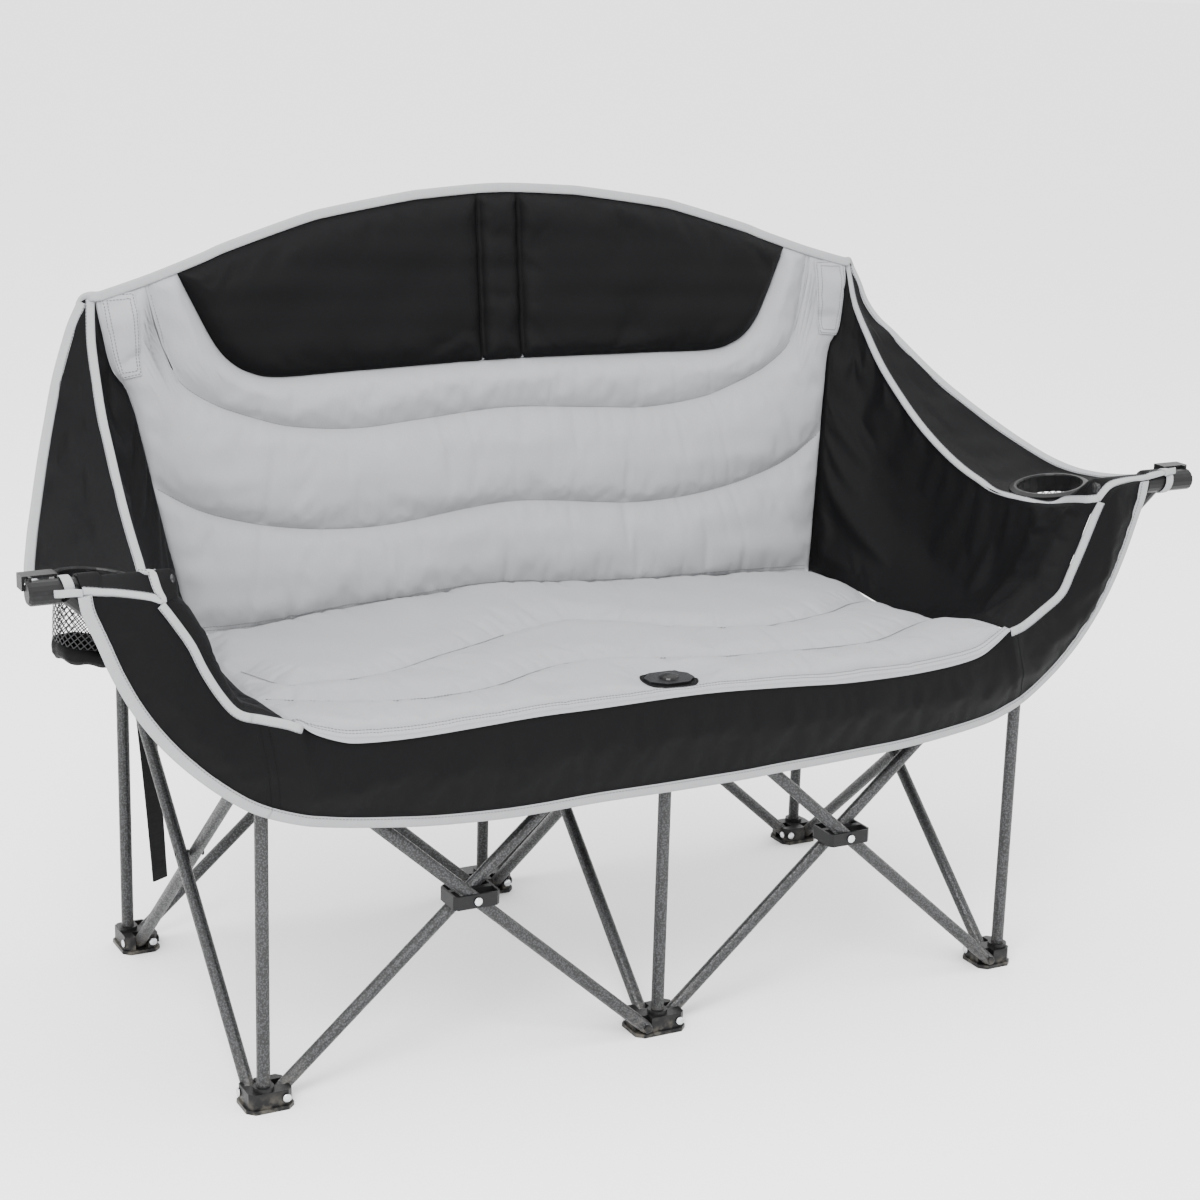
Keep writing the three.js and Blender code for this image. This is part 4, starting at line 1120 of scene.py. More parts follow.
    def inflate(self) -> None:
        """Runs the cloth solver on the front face with its seams sewn down, and keeps how far it swelled."""
        u = np.linspace(-1, 1, 200)[None, :]
        v = np.linspace(0, 1, 100)[:, None]
        x, z = self.between(u, v, self.foot, self.top)
        grid = coords(x, self.front(x, z), z)
        seams = near_seams(coords(x.ravel(), z.ravel()), self.lines()).reshape(x.shape)
        sewn = rim_of(grid) | seams | (z > self.top(x) - 0.012)
        drape = Drape(pressure=0.7, slack=0.022, reach=0.004)
        settled = drape.settle("back_front", grid[:, ::-1], sewn[:, ::-1])
        self.swell = (grid - settled[:, ::-1])[..., 1]

    def build(self) -> None:
        """Makes the pad, the head panel, corner patches, post pockets, binding and stitching."""
        self.inflate()
        u = np.linspace(-1, 1, 250)
        borders = (self.foot, self.border_b, self.border_a, self.border_panel, self.top)
        rows = []
        for low, high, count in zip(borders[:-1], borders[1:], (30, 34, 20, 34)):
            x, z = self.between(u[None, :], eased(count), low, high)
            rows.append(coords(x, z)[: None if high is self.top else -1])
        x, z = np.moveaxis(np.concatenate(rows), -1, 0)
        # The pad sinks a little where the head panel covers it
        gaps = (z - self.border_panel(x), self.top(x) - 0.008 - z, self.panel_half - np.abs(x))
        under = np.minimum.reduce(gaps)
        front = coords(x, self.front(x, z) + 0.0026 * step_up(under, 0.0, 0.008), z)
        inside = np.clip(np.minimum(z - self.foot(x), self.top(x) - z) / 0.05, 0, 1)
        rear = coords(x, self.plane(z) + 0.002 + self.thickness * np.sqrt(inside), z)
        finishes = [self.finishes.grey, self.finishes.black, self.finishes.grey]
        pad = self.mount.hang("back_cushion", shell(front, rear), finishes, "grey_cloth")
        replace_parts(pad, "back_pad")
        self.head_panel()
        self.corner_patches()
        self.post_pockets()
        self.binding()
        self.seam_stitching()

    def seam_stitching(self) -> None:
        """Rows of stitches in the sewn lines and along the lower edge."""
        rows = []
        lower = ((self.foot, 0.005, 0.455), (self.foot, 0.010, 0.455))
        for border, lift, wide in ((self.border_a, 0.0, 0.478), (self.border_b, 0.0, 0.487), *lower):
            x = np.linspace(-wide, wide, 400)
            rows.append(Stitch().row(*self.on_front(x, border(x) + lift, 0.0003)))
        self.mount.hang("back_stitching", Form.joined(rows), [self.finishes.grey_thread], "grey_cloth")

    def head_panel(self) -> None:
        """Black panel over the head, which follows the pad a little above it."""
        x = self.panel_half * np.linspace(-1, 1, 200)[None, :]
        low = self.border_panel(x)
        z = low + (self.top(x) - 0.008 - low) * eased(60)
        x, z = np.broadcast_arrays(x, z)
        panel = shell(self.on_front(x, z, 0.0010)[0], self.on_front(x, z, -0.0010)[0])
        self.mount.hang("head_panel", panel, [self.finishes.black], "black_cloth")
        along, up = np.linspace(-0.436, 0.436, 400), np.linspace(0.771, 0.984, 90)
        paths = [(along, self.border_panel(along) + 0.004)]
        paths += [(up * 0 + sign * sleeve, up) for sign in (-1, 1) for sleeve in (0.029, 0.033)]
        rows = Form.joined([Stitch().row(*self.on_front(*path, 0.0015)) for path in paths])
        self.mount.hang("head_panel_stitching", rows, [self.finishes.black_thread], "black_cloth")

    def patch_place(self, side: Side, a: Array, b: Array) -> tuple[Array, Array]:
        """X and height on a corner patch, at the shares a of its width outwards and b of its height."""
        z = 0.778 + 0.1 * b - 0.004 * a
        inner = 0.500 if side is Side.LEFT else 0.490
        return side.value * (inner + (self.half(z) - 0.0045 - inner) * a), z

    def corner_patches(self) -> None:
        """Two doubled patches of grey cloth where the corner posts push up, each stitched round twice."""
        patches, rows = [], []
        for side in Side:
            place = self.patch_place(side, np.linspace(0, 1, 16)[None, :], np.linspace(0, 1, 36)[:, None])
            x, z = np.broadcast_arrays(*place)
            patches.append(shell(self.on_front(x, z, 0.0019)[0], self.on_front(x, z, -0.0006)[0]))
            for inset in (0.05, 0.16):
                a, b, t = inset, inset * 0.4, np.linspace(0, 4, 160)
                corners = (a, 1 - a, 1 - a, a, a), (b, b, 1 - b, 1 - b, b)
                round_it = (np.interp(t, range(5), values) for values in corners)
                rows.append(Stitch().row(*self.on_front(*self.patch_place(side, *round_it), 0.0021)))
        self.mount.hang("corner_patches", Form.joined(patches), [self.finishes.grey], "grey_cloth")
        thread = [self.finishes.grey_thread]
        self.mount.hang("corner_patch_stitching", Form.joined(rows), thread, "grey_cloth")

    def post_pockets(self) -> None:
        """Black sleeves behind the pad that the post tops push into: a tube that closes in a rounded end."""
        spans = (("left", -CELL, 0.78, 0.876), ("middle", 0.0, 0.76, 0.991), ("right", CELL, 0.78, 0.876))
        for label, x, low, high in spans:
            z = np.concatenate([np.linspace(low, high - 0.009, 26), np.linspace(high - 0.007, high, 6)])
            close = np.sqrt(np.clip((high - z) / 0.009, 0.02, 1))
            flare = 1 + 0.22 * np.exp(-(((z - low) / 0.012) ** 2))
            profile = oval(0.0215, 0.0205, 20, 0.9)[None] * (close * flare)[:, None, None]
            path = coords(z * 0 + x, z * 0 + REAR_ROW, z)
            pocket = sweep(path, same((1, 0, 0), len(z)), same((0, 1, 0), len(z)), profile)
            mount = Mount(f"rear_{label}_leg", Hold.RIGID)
            mount.hang(f"post_pocket_{label}", pocket, [self.finishes.black], "black_cloth")

    def binding(self) -> None:
        """Pale tape over the arched top edge that turns round both corners, and stitching along it."""
        x = np.linspace(-0.545, 0.545, 120)
        z = self.top(x)
        edge = coords(x, self.plane(z) - 0.001, z)
        turn = np.array([[0.556, 0.257, 0.8785], [0.564, 0.263, 0.8725], [0.5685, 0.264, 0.864]])
        edge = even(spline(np.concatenate([(turn * (-1, 1, 1))[::-1], edge, turn]), 3000), 300)
        bend = step_up(np.abs(edge[:, :1]), 0.549, 0.569)
        down = same((0, -0.18, -1), len(edge)) * (1 - bend) - np.sign(edge[:, :1]) * (1, 0, 0) * bend
        tape = tape_along(edge, edge + unit(down) * 0.01, 0.0125, 0.0062)
        flat = np.abs(edge[:, 0]) < 0.546
        normal = same(unit(np.array([0, -1.0, 0.18])), int(flat.sum()))
        row = Stitch().row(edge[flat] - (0, 0.0033, 0.0092), normal)
        self.mount.hang("back_binding", tape, [self.finishes.tape], "grey_cloth")
        self.mount.hang("back_binding_stitching", row, [self.finishes.grey_thread], "grey_cloth")


# The seat


@dataclass
class Seat:
    """Padded seat in a front and a rear half, with two wavy sewn lines and a stitched front hem."""

    finishes: Finishes
    back: BackRest
    puff: float = 0.0095
    spread: float = 0.055
    split: float = 0.01335
    level: float = 0.457
    rear_half: float = 0.461
    mount: Mount = Mount("seat_front")
    swell: Array | None = None

    hem_height = (
        (-497, 479), (-490, 477), (-480, 467), (-467, 459), (-442, 450), (-422, 447), (-373, 446),
        (-324, 447), (-274, 449), (-198, 452), (-120, 452), (-40, 453), (14, 453), (70, 451), (155, 446),
        (213, 442), (274, 440), (336, 439), (401, 440), (438, 444), (462, 456), (475, 466), (484, 474),
    )
    front_line = (
        (-497, -291), (-470, -296), (-430, -298), (-300, -298), (0, -298), (200, -297), (300, -293),
        (400, -284), (484, -274),
    )
    rear_line = (
        (-461, 165), (-377, 172), (-274, 180), (-100, 186), (0, 187), (100, 186), (296, 178), (461, 165),
    )
    side_left = ((-295, 479), (-280, 478), (-226, 470), (-147, 461), (-65, 450), (79, 449), (178, 449))
    side_right = ((-280, 478), (-220, 472), (-171, 462), (-110, 446), (-57, 438), (50, 440), (178, 445))
    line_1 = (
        (-455, 0), (-428, -78), (-395, -84), (-345, -90), (-285, -77), (-215, -42), (-150, -14), (-75, 20),
        (-8, 34), (52, 22), (115, -32), (210, -74), (270, -74), (350, -52), (410, -15), (468, 12),
    )
    line_2 = (
        (-475, -140), (-410, -165), (-335, -190), (-255, -194), (-195, -180), (-125, -145), (-62, -130),
        (15, -148), (110, -178), (195, -190), (300, -198), (345, -190), (395, -165), (445, -140), (475, -128),
    )

    def front_half(self, side: Array) -> Array:
        """Half width of the front edge, to the left where the given number is negative."""
        return np.where(side < 0, 0.497, 0.484)

    def place(self, u: Array, v: Array) -> tuple[Array, Array, Array]:
        """Plan and base height of the seat.

        Args:
            u: Share across, -1 at the left edge and 1 at the right.
            v: Share from the front edge to the rear.

        Returns:
            X, Y and the height of the sewn surface: level in the middle, falling to the hem in front and to
            the back's lower edge behind, and drawn up or down at the side cloths.
        """
        front_x, rear_x = self.front_half(u) * u, self.rear_half * u
        x = front_x + (rear_x - front_x) * v
        y0, y1 = graph(front_x, self.front_line), graph(rear_x, self.rear_line)
        y = y0 * (1 - v) + y1 * v
        front = np.exp(-(y - y0) / 0.030)
        rear = step_up(v, 0.6, 1.0)
        z = self.level - 0.003 * np.sin(math.pi * v)
        z = z + (graph(front_x, self.hem_height) + 0.002 - z) * front
        z = z + (self.back.foot(rear_x) - z) * rear
        side = np.where(u < 0, graph(y, self.side_left), graph(y, self.side_right))
        return x, y, z + (side - z) * np.abs(u) ** 9 * (1 - rear) * (1 - 0.7 * front)

    def rise(self, x: Array, y: Array, u: Array) -> Array:
        """How far the pad swells over the sewn surface: not at all round the fastener and at the sides."""
        flat = coords(np.ravel(x), np.ravel(y))
        share, dents = quilted(flat, self.lines(), 31, (DENT, DENT, DENT, 0.0005))
        side = np.clip(1 - np.abs(np.ravel(u)) ** 16, 0, 1) ** 0.5
        slack = 0.0010 * ripple(flat[:, 0] * 1.5, flat[:, 1], 0.13, 8)
        button = np.hypot(flat[:, 0], flat[:, 1] - FRONT_ROW)
        raised = (self.puff * share - dents + slack * share) * side * (1 - np.exp(-((button / 0.045) ** 4)))
        return raised.reshape(np.shape(x))

    def lines(self) -> list[tuple[Array, float]]:
        """Sewn lines in plan, each with the width over which the pad rises beside it."""
        hem = smooth_line(self.front_line, 60) + (0, 0.009)
        return [
            (smooth_line(self.line_1, 80), self.spread),
            (smooth_line(self.line_2, 80), self.spread),
            (smooth_line(self.rear_line, 60), self.spread * 0.6),
            (hem, 0.030),
        ]

    def surface(self, u: Array, v: Array) -> Array:
        """Upper face of the seat as points, with what the cloth solver added."""
        u, v = np.broadcast_arrays(u, v)
        x, y, z = self.place(u, v)
        z = z + self.rise(x, y, u)
        if self.swell is not None:
            z = z + sample(self.swell, v, u / 2 + 0.5)
        return coords(x, y, z)

    def shares(self, x: Array, y: Array) -> tuple[Array, Array]:
        """The shares u and v of places in plan, found by repeated division."""
        v = y * 0 + 0.5
        for _ in range(6):
            wide = self.front_half(x)
            u = x / (wide + (self.rear_half - wide) * v)
            y0, y1 = graph(wide * u, self.front_line), graph(self.rear_half * u, self.rear_line)
            v = np.clip((y - y0) / (y1 - y0), 0, 1)
        return np.clip(u, -1, 1), v

    def over(self, place: Array, height: float) -> Array:
        """Points at a height over the upper face, at places in plan."""
        return self.surface(*self.shares(place[..., 0], place[..., 1])) + (0, 0, height)

    def inflate(self) -> None:
        """Runs the cloth solver on the upper face with its seams sewn down, and keeps how far it swelled."""
        grid = self.surface(np.linspace(-1, 1, 190)[None, :], np.linspace(0, 1, 90)[:, None])
        seams = near_seams(grid[..., :2].reshape(-1, 2), self.lines()).reshape(grid.shape[:2])
        sewn = rim_of(grid) | seams | (np.hypot(grid[..., 0], grid[..., 1] - FRONT_ROW) < 0.034)
        drape = Drape(pressure=0.4, slack=0.025, reach=0.0035)
        settled = drape.settle("seat_top", grid[:, ::-1], sewn[:, ::-1])
        self.swell = (settled[:, ::-1] - grid)[..., 2]

    def split_share(self, u: Array) -> Array:
        """Share from front to rear at which the two halves part, along a straight line across the seat."""
        y0 = graph(self.front_half(u) * u, self.front_line)
        y1 = graph(self.rear_half * u, self.rear_line)
        return (self.split - y0) / (y1 - y0)

    def build(self) -> None:
        """Makes the two halves, the sewn lines' stitching and the hem."""
        self.inflate()
        u = np.linspace(-1, 1, 280)[None, :]
        parting = self.split_share(u)
        finishes = [self.finishes.grey, self.finishes.black, self.finishes.grey]
        for half, rows in (("front", 130), ("rear", 64)):
            t = np.linspace(0, 1, rows)[:, None]
            v = t**1.15 * parting if half == "front" else parting + (1 - parting) * t
            u_all, v = np.broadcast_arrays(u, v)
            x, y, z = self.place(u_all, v)
            edge = np.clip(np.minimum(v, 1 - v) / 0.05, 0, 1) * np.clip((1 - np.abs(u_all)) / 0.03, 0, 1)
            pad = shell(self.surface(u_all, v), coords(x, y, z - 0.0015 - 0.005 * np.sqrt(edge)))
            made = Mount(f"seat_{half}").hang(f"seat_cushion_{half}", pad, finishes, "grey_cloth")
            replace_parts(made, f"seat_pad_{half}")
        self.hem()
        self.seam_stitching()
        self.fastener_patch()

    def seam_stitching(self) -> None:
        """Rows of stitches in the two sewn lines of the front half."""
        rows = []
        for line in (self.line_1, self.line_2):
            plan = smooth_line(line, 500)
            plan = plan[plan[:, 1] < self.split - 0.002]
            for part in np.split(plan, np.flatnonzero(np.diff(plan[:, 0]) > 0.01) + 1):
                rows.append(Stitch(radius=0.0007).row(self.over(part, 0.0016), same(UP, len(part))))
        self.mount.hang("seat_stitching", Form.joined(rows), [self.finishes.grey_thread], "grey_cloth")

    def fastener_patch(self) -> None:
        """Black patch under the fastener: a rounded square of webbing, with two rows of stitches round it."""
        rim = oval(0.065, 0.061, 96, 0.62)
        scales = np.array([0.02, 0.5, 0.8, 0.95, 1.0])[:, None, None]
        faces = ((scales, 0.0016), (scales[::-1], -0.0004))
        grid = np.concatenate([self.over(rim * scale + (0, FRONT_ROW), height) for scale, height in faces])
        patch = tube(grid, grid[..., :2].reshape(-1, 2))
        closed = np.concatenate([rim, rim[:1]])
        paths = [self.over(closed * share + (0, FRONT_ROW), 0.0018) for share in (0.86, 0.94)]
        rows = [Stitch(pitch=0.0036, length=0.0027).row(path, same(UP, len(path))) for path in paths]
        self.mount.hang("fastener_patch", patch, [self.finishes.webbing], "black_cloth")
        thread = [self.finishes.black_thread]
        self.mount.hang("fastener_patch_stitching", Form.joined(rows), thread, "black_cloth")

    def hem(self) -> None:
        """Folded front hem: a flat roll along the edge, and rows of stitches on it."""
        u = np.linspace(-0.999, 0.999, 360)
        edge = self.surface(u, u * 0) - (0, 0, 0.002)
        inside = self.surface(u, u * 0 + 0.03) + (0, 0, 0.003)
        tape = tape_along(edge, inside, 0.0115, 0.0042, over=0.0005)
        inward = unit(inside - edge)
        normal = unit(np.cross(inward, np.gradient(edge, axis=0)))
        normal *= np.sign(normal[:, 2:].mean())
        rows = [Stitch().row(edge + inward * d + normal * 0.0022, normal) for d in (0.0045, 0.0095)]
        self.mount.hang("seat_hem", tape, [self.finishes.grey], "grey_cloth")
        self.mount.hang("seat_hem_stitching", Form.joined(rows), [self.finishes.grey_thread], "grey_cloth")


# Front band


@dataclass
class FrontBand:
    """Black band under the seat's front edge that runs up both arm struts, with pale binding."""

    finishes: Finishes
    seat: Seat
    thickness: float = 0.0022
    trim: Binding = Binding(0.0060, 0.005, 0.0030, outward=(0, -1, 0), fewest=12)
    mount: Mount = Mount("front_middle_bracket")

    inner_left = (
        (-637, -272, 628), (-625, -272, 611), (-604, -271, 579), (-590, -271, 549), (-572, -273, 518),
        (-554, -276, 497), (-531, -282, 490), (-514, -288, 486), (-502, -292, 483), (-493, -293, 479),
    )
    inner_right = (
        (486, -273, 476), (510, -265, 479), (543, -256, 492), (577, -249, 510), (591, -247, 534),
        (606, -248, 570), (617, -252, 606), (623, -257, 629),
    )
    outer_left = (
        (-728, -273, 643), (-724, -272, 623), (-710, -270, 591), (-693, -268, 550), (-671, -266, 508),
        (-643, -265, 468), (-610, -266, 432), (-572, -269, 399), (-534, -272, 374),
    )
    outer_right = (
        (527, -254, 369), (560, -251, 389), (592, -248, 413), (621, -246, 442), (646, -246, 477),
        (666, -247, 516), (681, -249, 557), (692, -254, 604), (697, -258, 630), (697, -262, 652),
    )
    bottom = (
        (-485, -276, 356), (-437, -276, 346), (-363, -277, 336), (-313, -277, 331), (-237, -277, 327),
        (-185, -277, 327), (-106, -277, 329), (0, -277, 329), (88, -277, 330), (145, -276, 332),
        (205, -274, 333), (265, -273, 335), (326, -271, 337), (389, -268, 342), (455, -263, 349),
        (488, -260, 356),
    )
    tip_left = ((-728, -273, 643), (-689, -273, 640), (-655, -273, 633), (-637, -272, 628))
    tip_right = ((697, -262, 652), (689, -262, 653), (663, -262, 652), (638, -261, 646), (623, -257, 629))

    def grid(self) -> tuple[Array, int, int]:
        """The whole band as one grid, from the left tip to the right one and from its top edge down.

        Returns:
            The grid, and the columns where its three pieces are sewn together.
        """
        u = np.linspace(-0.966, 0.986, 80)
        # The band's top edge is tucked under the seat's hem
        hem = self.seat.surface(u, u * 0) / MM + (0, 6, -2.5)
        top = smooth_line(np.concatenate([self.inner_left, hem, self.inner_right]), 1500)
        low = smooth_line(np.concatenate([self.outer_left, self.bottom, self.outer_right]), 1500)
        counts = (64, 200, 60)
        lines = []
        for line, joins in ((top, (-0.540, 0.500)), (low, (-0.520, 0.525))):
            first, second = np.searchsorted(line[:, 0], joins)
            spans = (line[:first], line[first - 1 : second], line[second - 1 :])
            parts = [even(part, count) for part, count in zip(spans, counts)]
            lines.append(np.concatenate([parts[0], parts[1][1:], parts[2][1:]]))
        t = np.linspace(0, 1, 32)[:, None]
        grid = lines[0][None] * (1 - t[..., None]) + lines[1][None] * t[..., None]
        reach = 12
        fade = ((1 - np.arange(reach) / reach) ** 2)[None, :, None]
        for tip, column in ((self.tip_left, 0), (self.tip_right, -1)):
            change = even(spline(np.asarray(tip, float) * MM, 60), 32)[::-1] - grid[:, column]
            grid[:, slice(0, reach) if column == 0 else slice(-1, -reach - 1, -1)] += change[:, None] * fade
        belly = np.sin(math.pi * np.clip(t, 0, 1)) ** 1.5
        share = np.linspace(0, 1, grid.shape[1])[None, :]
        ends = 1 - step_up(np.minimum(share, 1 - share), 0.0, 0.03)
        folds = 0.0012 * ripple(grid[..., 0], grid[..., 2] * 0.6, 0.15, 21)
        grid[..., 1] -= belly * ((0.0115 + folds) * (1 - ends) + 0.004 * ends)
        drape = Drape(pressure=0.10, slack=0.007, reach=0.005, bending=1.5)
        settled = drape.settle("band_front", grid, rim_of(grid, rows=5))
        settled[..., 1] = np.minimum(settled[..., 1], grid[..., 1] + 0.002)
        return settled, counts[0] - 1, counts[0] + counts[1] - 2

    def sheet(
        self, name: str, grid: Array, thickness: float, mount: Mount, rests_on: str
    ) -> bpy.types.Object:
        """Makes one sheet of black cloth."""
        made = mount.hang(name, sheet_form(grid, thickness), [self.finishes.black], "black_cloth")
        cloth_sheet(grid)
        return made

    def build(self) -> None:
        """Makes the centre, both ends, their binding and the stitched joins."""
        grid, first, second = self.grid()
        left, right = (Mount(body, Hold.RIGID) for body in STRUTS)
        middle = grid[:, first : second + 1]
        parts = (
            ("band_end_left", "front_band_left", left, grid[:, : first + 1], "arm_bar_left"),
            ("band_centre", "front_band_centre", self.mount, middle, "seat_cushion_front"),
            ("band_end_right", "front_band_right", right, grid[:, second:], "arm_bar_right"),
        )
        for name, node, mount, part, rests_on in parts:
            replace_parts(self.sheet(name, part, self.thickness, mount, rests_on), node)
            self.trim.sew(self.finishes, name + "_outer_{}", part[-1], part[-5], 0.0150, mount)
            if mount.hold is Hold.RIGID:
                self.trim.sew(self.finishes, name + "_inner_{}", part[0], part[3], 0.0105, mount)
        for label, keep in (("left", middle[0, :, 0] < -0.487), ("right", middle[0, :, 0] > 0.484)):
            edges = middle[0][keep], middle[2][keep]
            self.trim.sew(self.finishes, f"band_corner_{label}_{{}}", *edges, 0.0105, self.mount)
        lining = grid[:, first - 1 : second + 2] + (0, 0.0016, 0)
        self.sheet("band_lining", lining, 0.0008, self.mount, "band_centre")
        self.joins(grid, (first + 1, first + 3, second - 1))

    def joins(self, grid: Array, columns: tuple[int, ...]) -> None:
        """Rows of stitches beside both joins, two on the left and one on the right."""
        rows = []
        for column in columns:
            normal = grid_normals(grid)[1:-3, column]
            normal *= -np.sign(normal[:, 1:2])
            rows.append(Stitch().row(grid[1:-3, column] + normal * 0.0013, normal))
        self.mount.hang("band_join_stitching", Form.joined(rows), [self.finishes.black_thread], "black_cloth")


# Arms


@dataclass(frozen=True)
class Bag:
    """Walls of a cup pocket, turned about the tilted axis of its ring."""

    centre: Array
    up: Array
    across: Array
    sides: int = 96

    def turned(self, depths: Array, radii: Array) -> Array:
        """Rings of points at these depths and radii, with loose folds that grow towards the foot."""
        turn = np.linspace(0, 2 * math.pi, self.sides + 1)[:-1]
        loose = np.clip(-depths / 0.090, 0, 1)[:, None]
        waves = 0.020 * np.sin(5 * turn + 1) + 0.014 * np.sin(9 * turn) + 0.008 * np.sin(17 * turn)
        radius = radii[:, None] * (1 + loose**3 * waves)
        drop = depths[:, None] + loose**4 * 0.0015 * np.sin(7 * turn + 2)
        circle = np.cos(turn)[None, :, None] * self.across + np.sin(turn)[None, :, None] * (0.0, 1.0, 0.0)
        return self.centre + drop[..., None] * self.up + radius[..., None] * circle

    def walls(self, depths: object, radii: object) -> Form:
        """Closed ring of walls through these depths and radii, joined last to first."""
        grid = self.turned(np.asarray(depths), np.asarray(radii))
        close = quads_of(2, self.sides, wraps=True)
        close = np.where(close < self.sides, close + (len(grid) - 1) * self.sides, close - self.sides)
        length = np.abs(np.concatenate([[0], np.cumsum(np.diff(depths))]))
        round_it = np.linspace(0, 2 * math.pi, self.sides + 1)[:-1] * 0.044
        cloth = coords(round_it[None, :], length[:, None]).reshape(-1, 2)
        faces = np.concatenate([quads_of(len(grid), self.sides, wraps=True), close])
        return Form(grid.reshape(-1, 3), faces, [], cloth, np.zeros(len(faces), int)).outward()


@dataclass
class Arm:
    """One arm: the cloth over the bar, the side cloth down to the seat, binding and the cup holder."""

    finishes: Finishes
    side: Side
    back: BackRest
    band: FrontBand
    seat: Seat
    cup: tuple[float, float, float] = (0.66, -0.10665, 0.613)
    tilt: float = math.radians(8)
    trim: Binding = Binding(0.0055, 0.004, 0.0027, outward=(0, 0, 1), judged=0.5)

    outer = (
        (566, 264, 868), (578, 262, 846), (596, 252, 804), (616, 218, 773), (634, 181, 743), (652, 143, 715),
        (670, 100, 690), (687, 57, 668), (704, 13, 648), (720, -34, 632), (735, -86, 627), (744, -142, 630),
        (742, -190, 640), (735, -214, 650),
    )
    inner = (
        (549, 256, 873), (554, 241, 823), (558, 211, 780), (562, 176, 739), (566, 132, 703), (571, 86, 670),
        (577, 36, 642), (584, -18, 620), (593, -76, 606), (602, -133, 604), (607, -175, 609),
        (610, -205, 617),
    )
    knot_left = ((611, -225, 622), (613, -245, 626), (619, -260, 628), (628, -269, 628), (637, -273, 627))
    knot_right = ((611, -225, 622), (612, -238, 625), (614, -248, 627), (618, -254, 629), (623, -258, 630))
    edge_left = (
        (-724, -273, 647), (-707, -273, 644), (-689, -273, 641), (-655, -273, 633), (-637, -273, 627),
    )
    edge_right = (
        (724, -263, 660), (706, -263, 657), (689, -263, 655), (663, -262, 653), (638, -261, 647),
        (623, -258, 630),
    )

    @property
    def strut(self) -> Mount:
        """The front tube that carries this arm."""
        return Mount(STRUTS[self.side is Side.RIGHT], Hold.RIGID, self.side)

    @property
    def corner(self) -> Mount:
        """The rear corner that the arm's cloth is pulled back to."""
        return Mount(f"rear_{self.side.label}_leg", Hold.PULLS_BACK, self.side)

    @property
    def axis(self) -> tuple[Array, Array, Array]:
        """Centre of the cup ring, its tilted axis, and the unit vector across it."""
        s = self.side.value
        up = unit(np.array([-math.sin(self.tilt) * s, 0, math.cos(self.tilt)]))
        return np.array([self.cup[0] * s, *self.cup[1:]]), up, unit(np.cross([0.0, 1.0, 0.0], up))

    def mirrored(self, points: object) -> Array:
        """Points in millimetres for this arm, from those of the right arm."""
        return np.asarray(points, float) * (self.side.value, 1, 1)

    def inner_edge(self) -> tuple[Array, Array]:
        """Inner edge of the arm cloth: along the arm, and on round the bar's end to the band."""
        knot = self.knot_left if self.side is Side.LEFT else self.knot_right
        whole = smooth_line(self.mirrored((*self.inner, *knot)), 400)
        turn = int(np.argmax(whole[:, 1] < -0.205))
        return even(whole[:turn], 64), whole[turn - 1 :]

    def top_grid(self) -> tuple[Array, int]:
        """Arm cloth: spans its two edges with a little sag, lies flat round the cup ring, and wraps the bar.

        The last rows follow a circle about the bar, a little wider where the moulded end sleeves it, and
        fall to the inner edge round the bar's inner end.

        Returns:
            The grid, and the row where the sleeve over the bar begins.
        """
        across, rows, every, fine = 50, 64, 3, 8
        outer = smooth_line(self.mirrored(self.outer), rows)
        inner, knot = self.inner_edge()
        t = np.linspace(0, 1, across)[None, :]
        sheet = outer[:, None] * (1 - t[..., None]) + inner[:, None] * t[..., None]
        along = np.linspace(0, 1, rows)[:, None]
        sheet[..., 2] -= 0.008 * np.sin(math.pi * t) * np.sin(math.pi * along) ** 0.7
        ring = np.hypot(sheet[..., 0] - self.cup[0] * self.side.value, sheet[..., 1] - self.cup[1])
        level = self.cup[2] + math.tan(self.tilt) * (np.abs(sheet[..., 0]) - self.cup[0]) - 0.0016
        sheet[..., 2] += (level - sheet[..., 2]) * (1 - step_up(ring, 0.058, 0.094))
        sewn = rim_of(sheet, rows=2, columns=5) | (ring < 0.062)
        drape = Drape(pressure=0.02, slack=0.006, reach=0.005, bending=1.2)
        sheet = drape.settle(f"arm_{self.side.label}", sheet, sewn)
        bar_x = (0.724 - 0.114 * t) * self.side.value
        radius = 0.0113 + 0.0045 * step_up(np.abs(bar_x), 0.696, 0.703)
        turn = np.radians([30, 48, 66, 84, 102])[:, None]
        places = (bar_x, FRONT_ROW + radius * np.cos(turn), BAR_HEIGHT + radius * np.sin(turn))
        wrap = coords(*places)
        edge = self.edge_left if self.side is Side.LEFT else self.edge_right
        last = even(spline(np.asarray(edge, float) * MM, 200), across)
        wrap = np.concatenate([wrap, (wrap[-1:] + last[None]) / 2, last[None]])
        fall = even(knot, len(wrap) + 2)[1:-1]
        fall[-1] = last[-1]
        inwards = step_up(t, 0.895, 1.0)[..., None]
        wrap = wrap * (1 - inwards) + fall[:, None] * inwards
        kept = sheet[: rows - every : every]
        knots = np.concatenate([kept, wrap])
        return spline(knots, fine * (len(knots) - 1) + 1), fine * (len(kept) - 1)

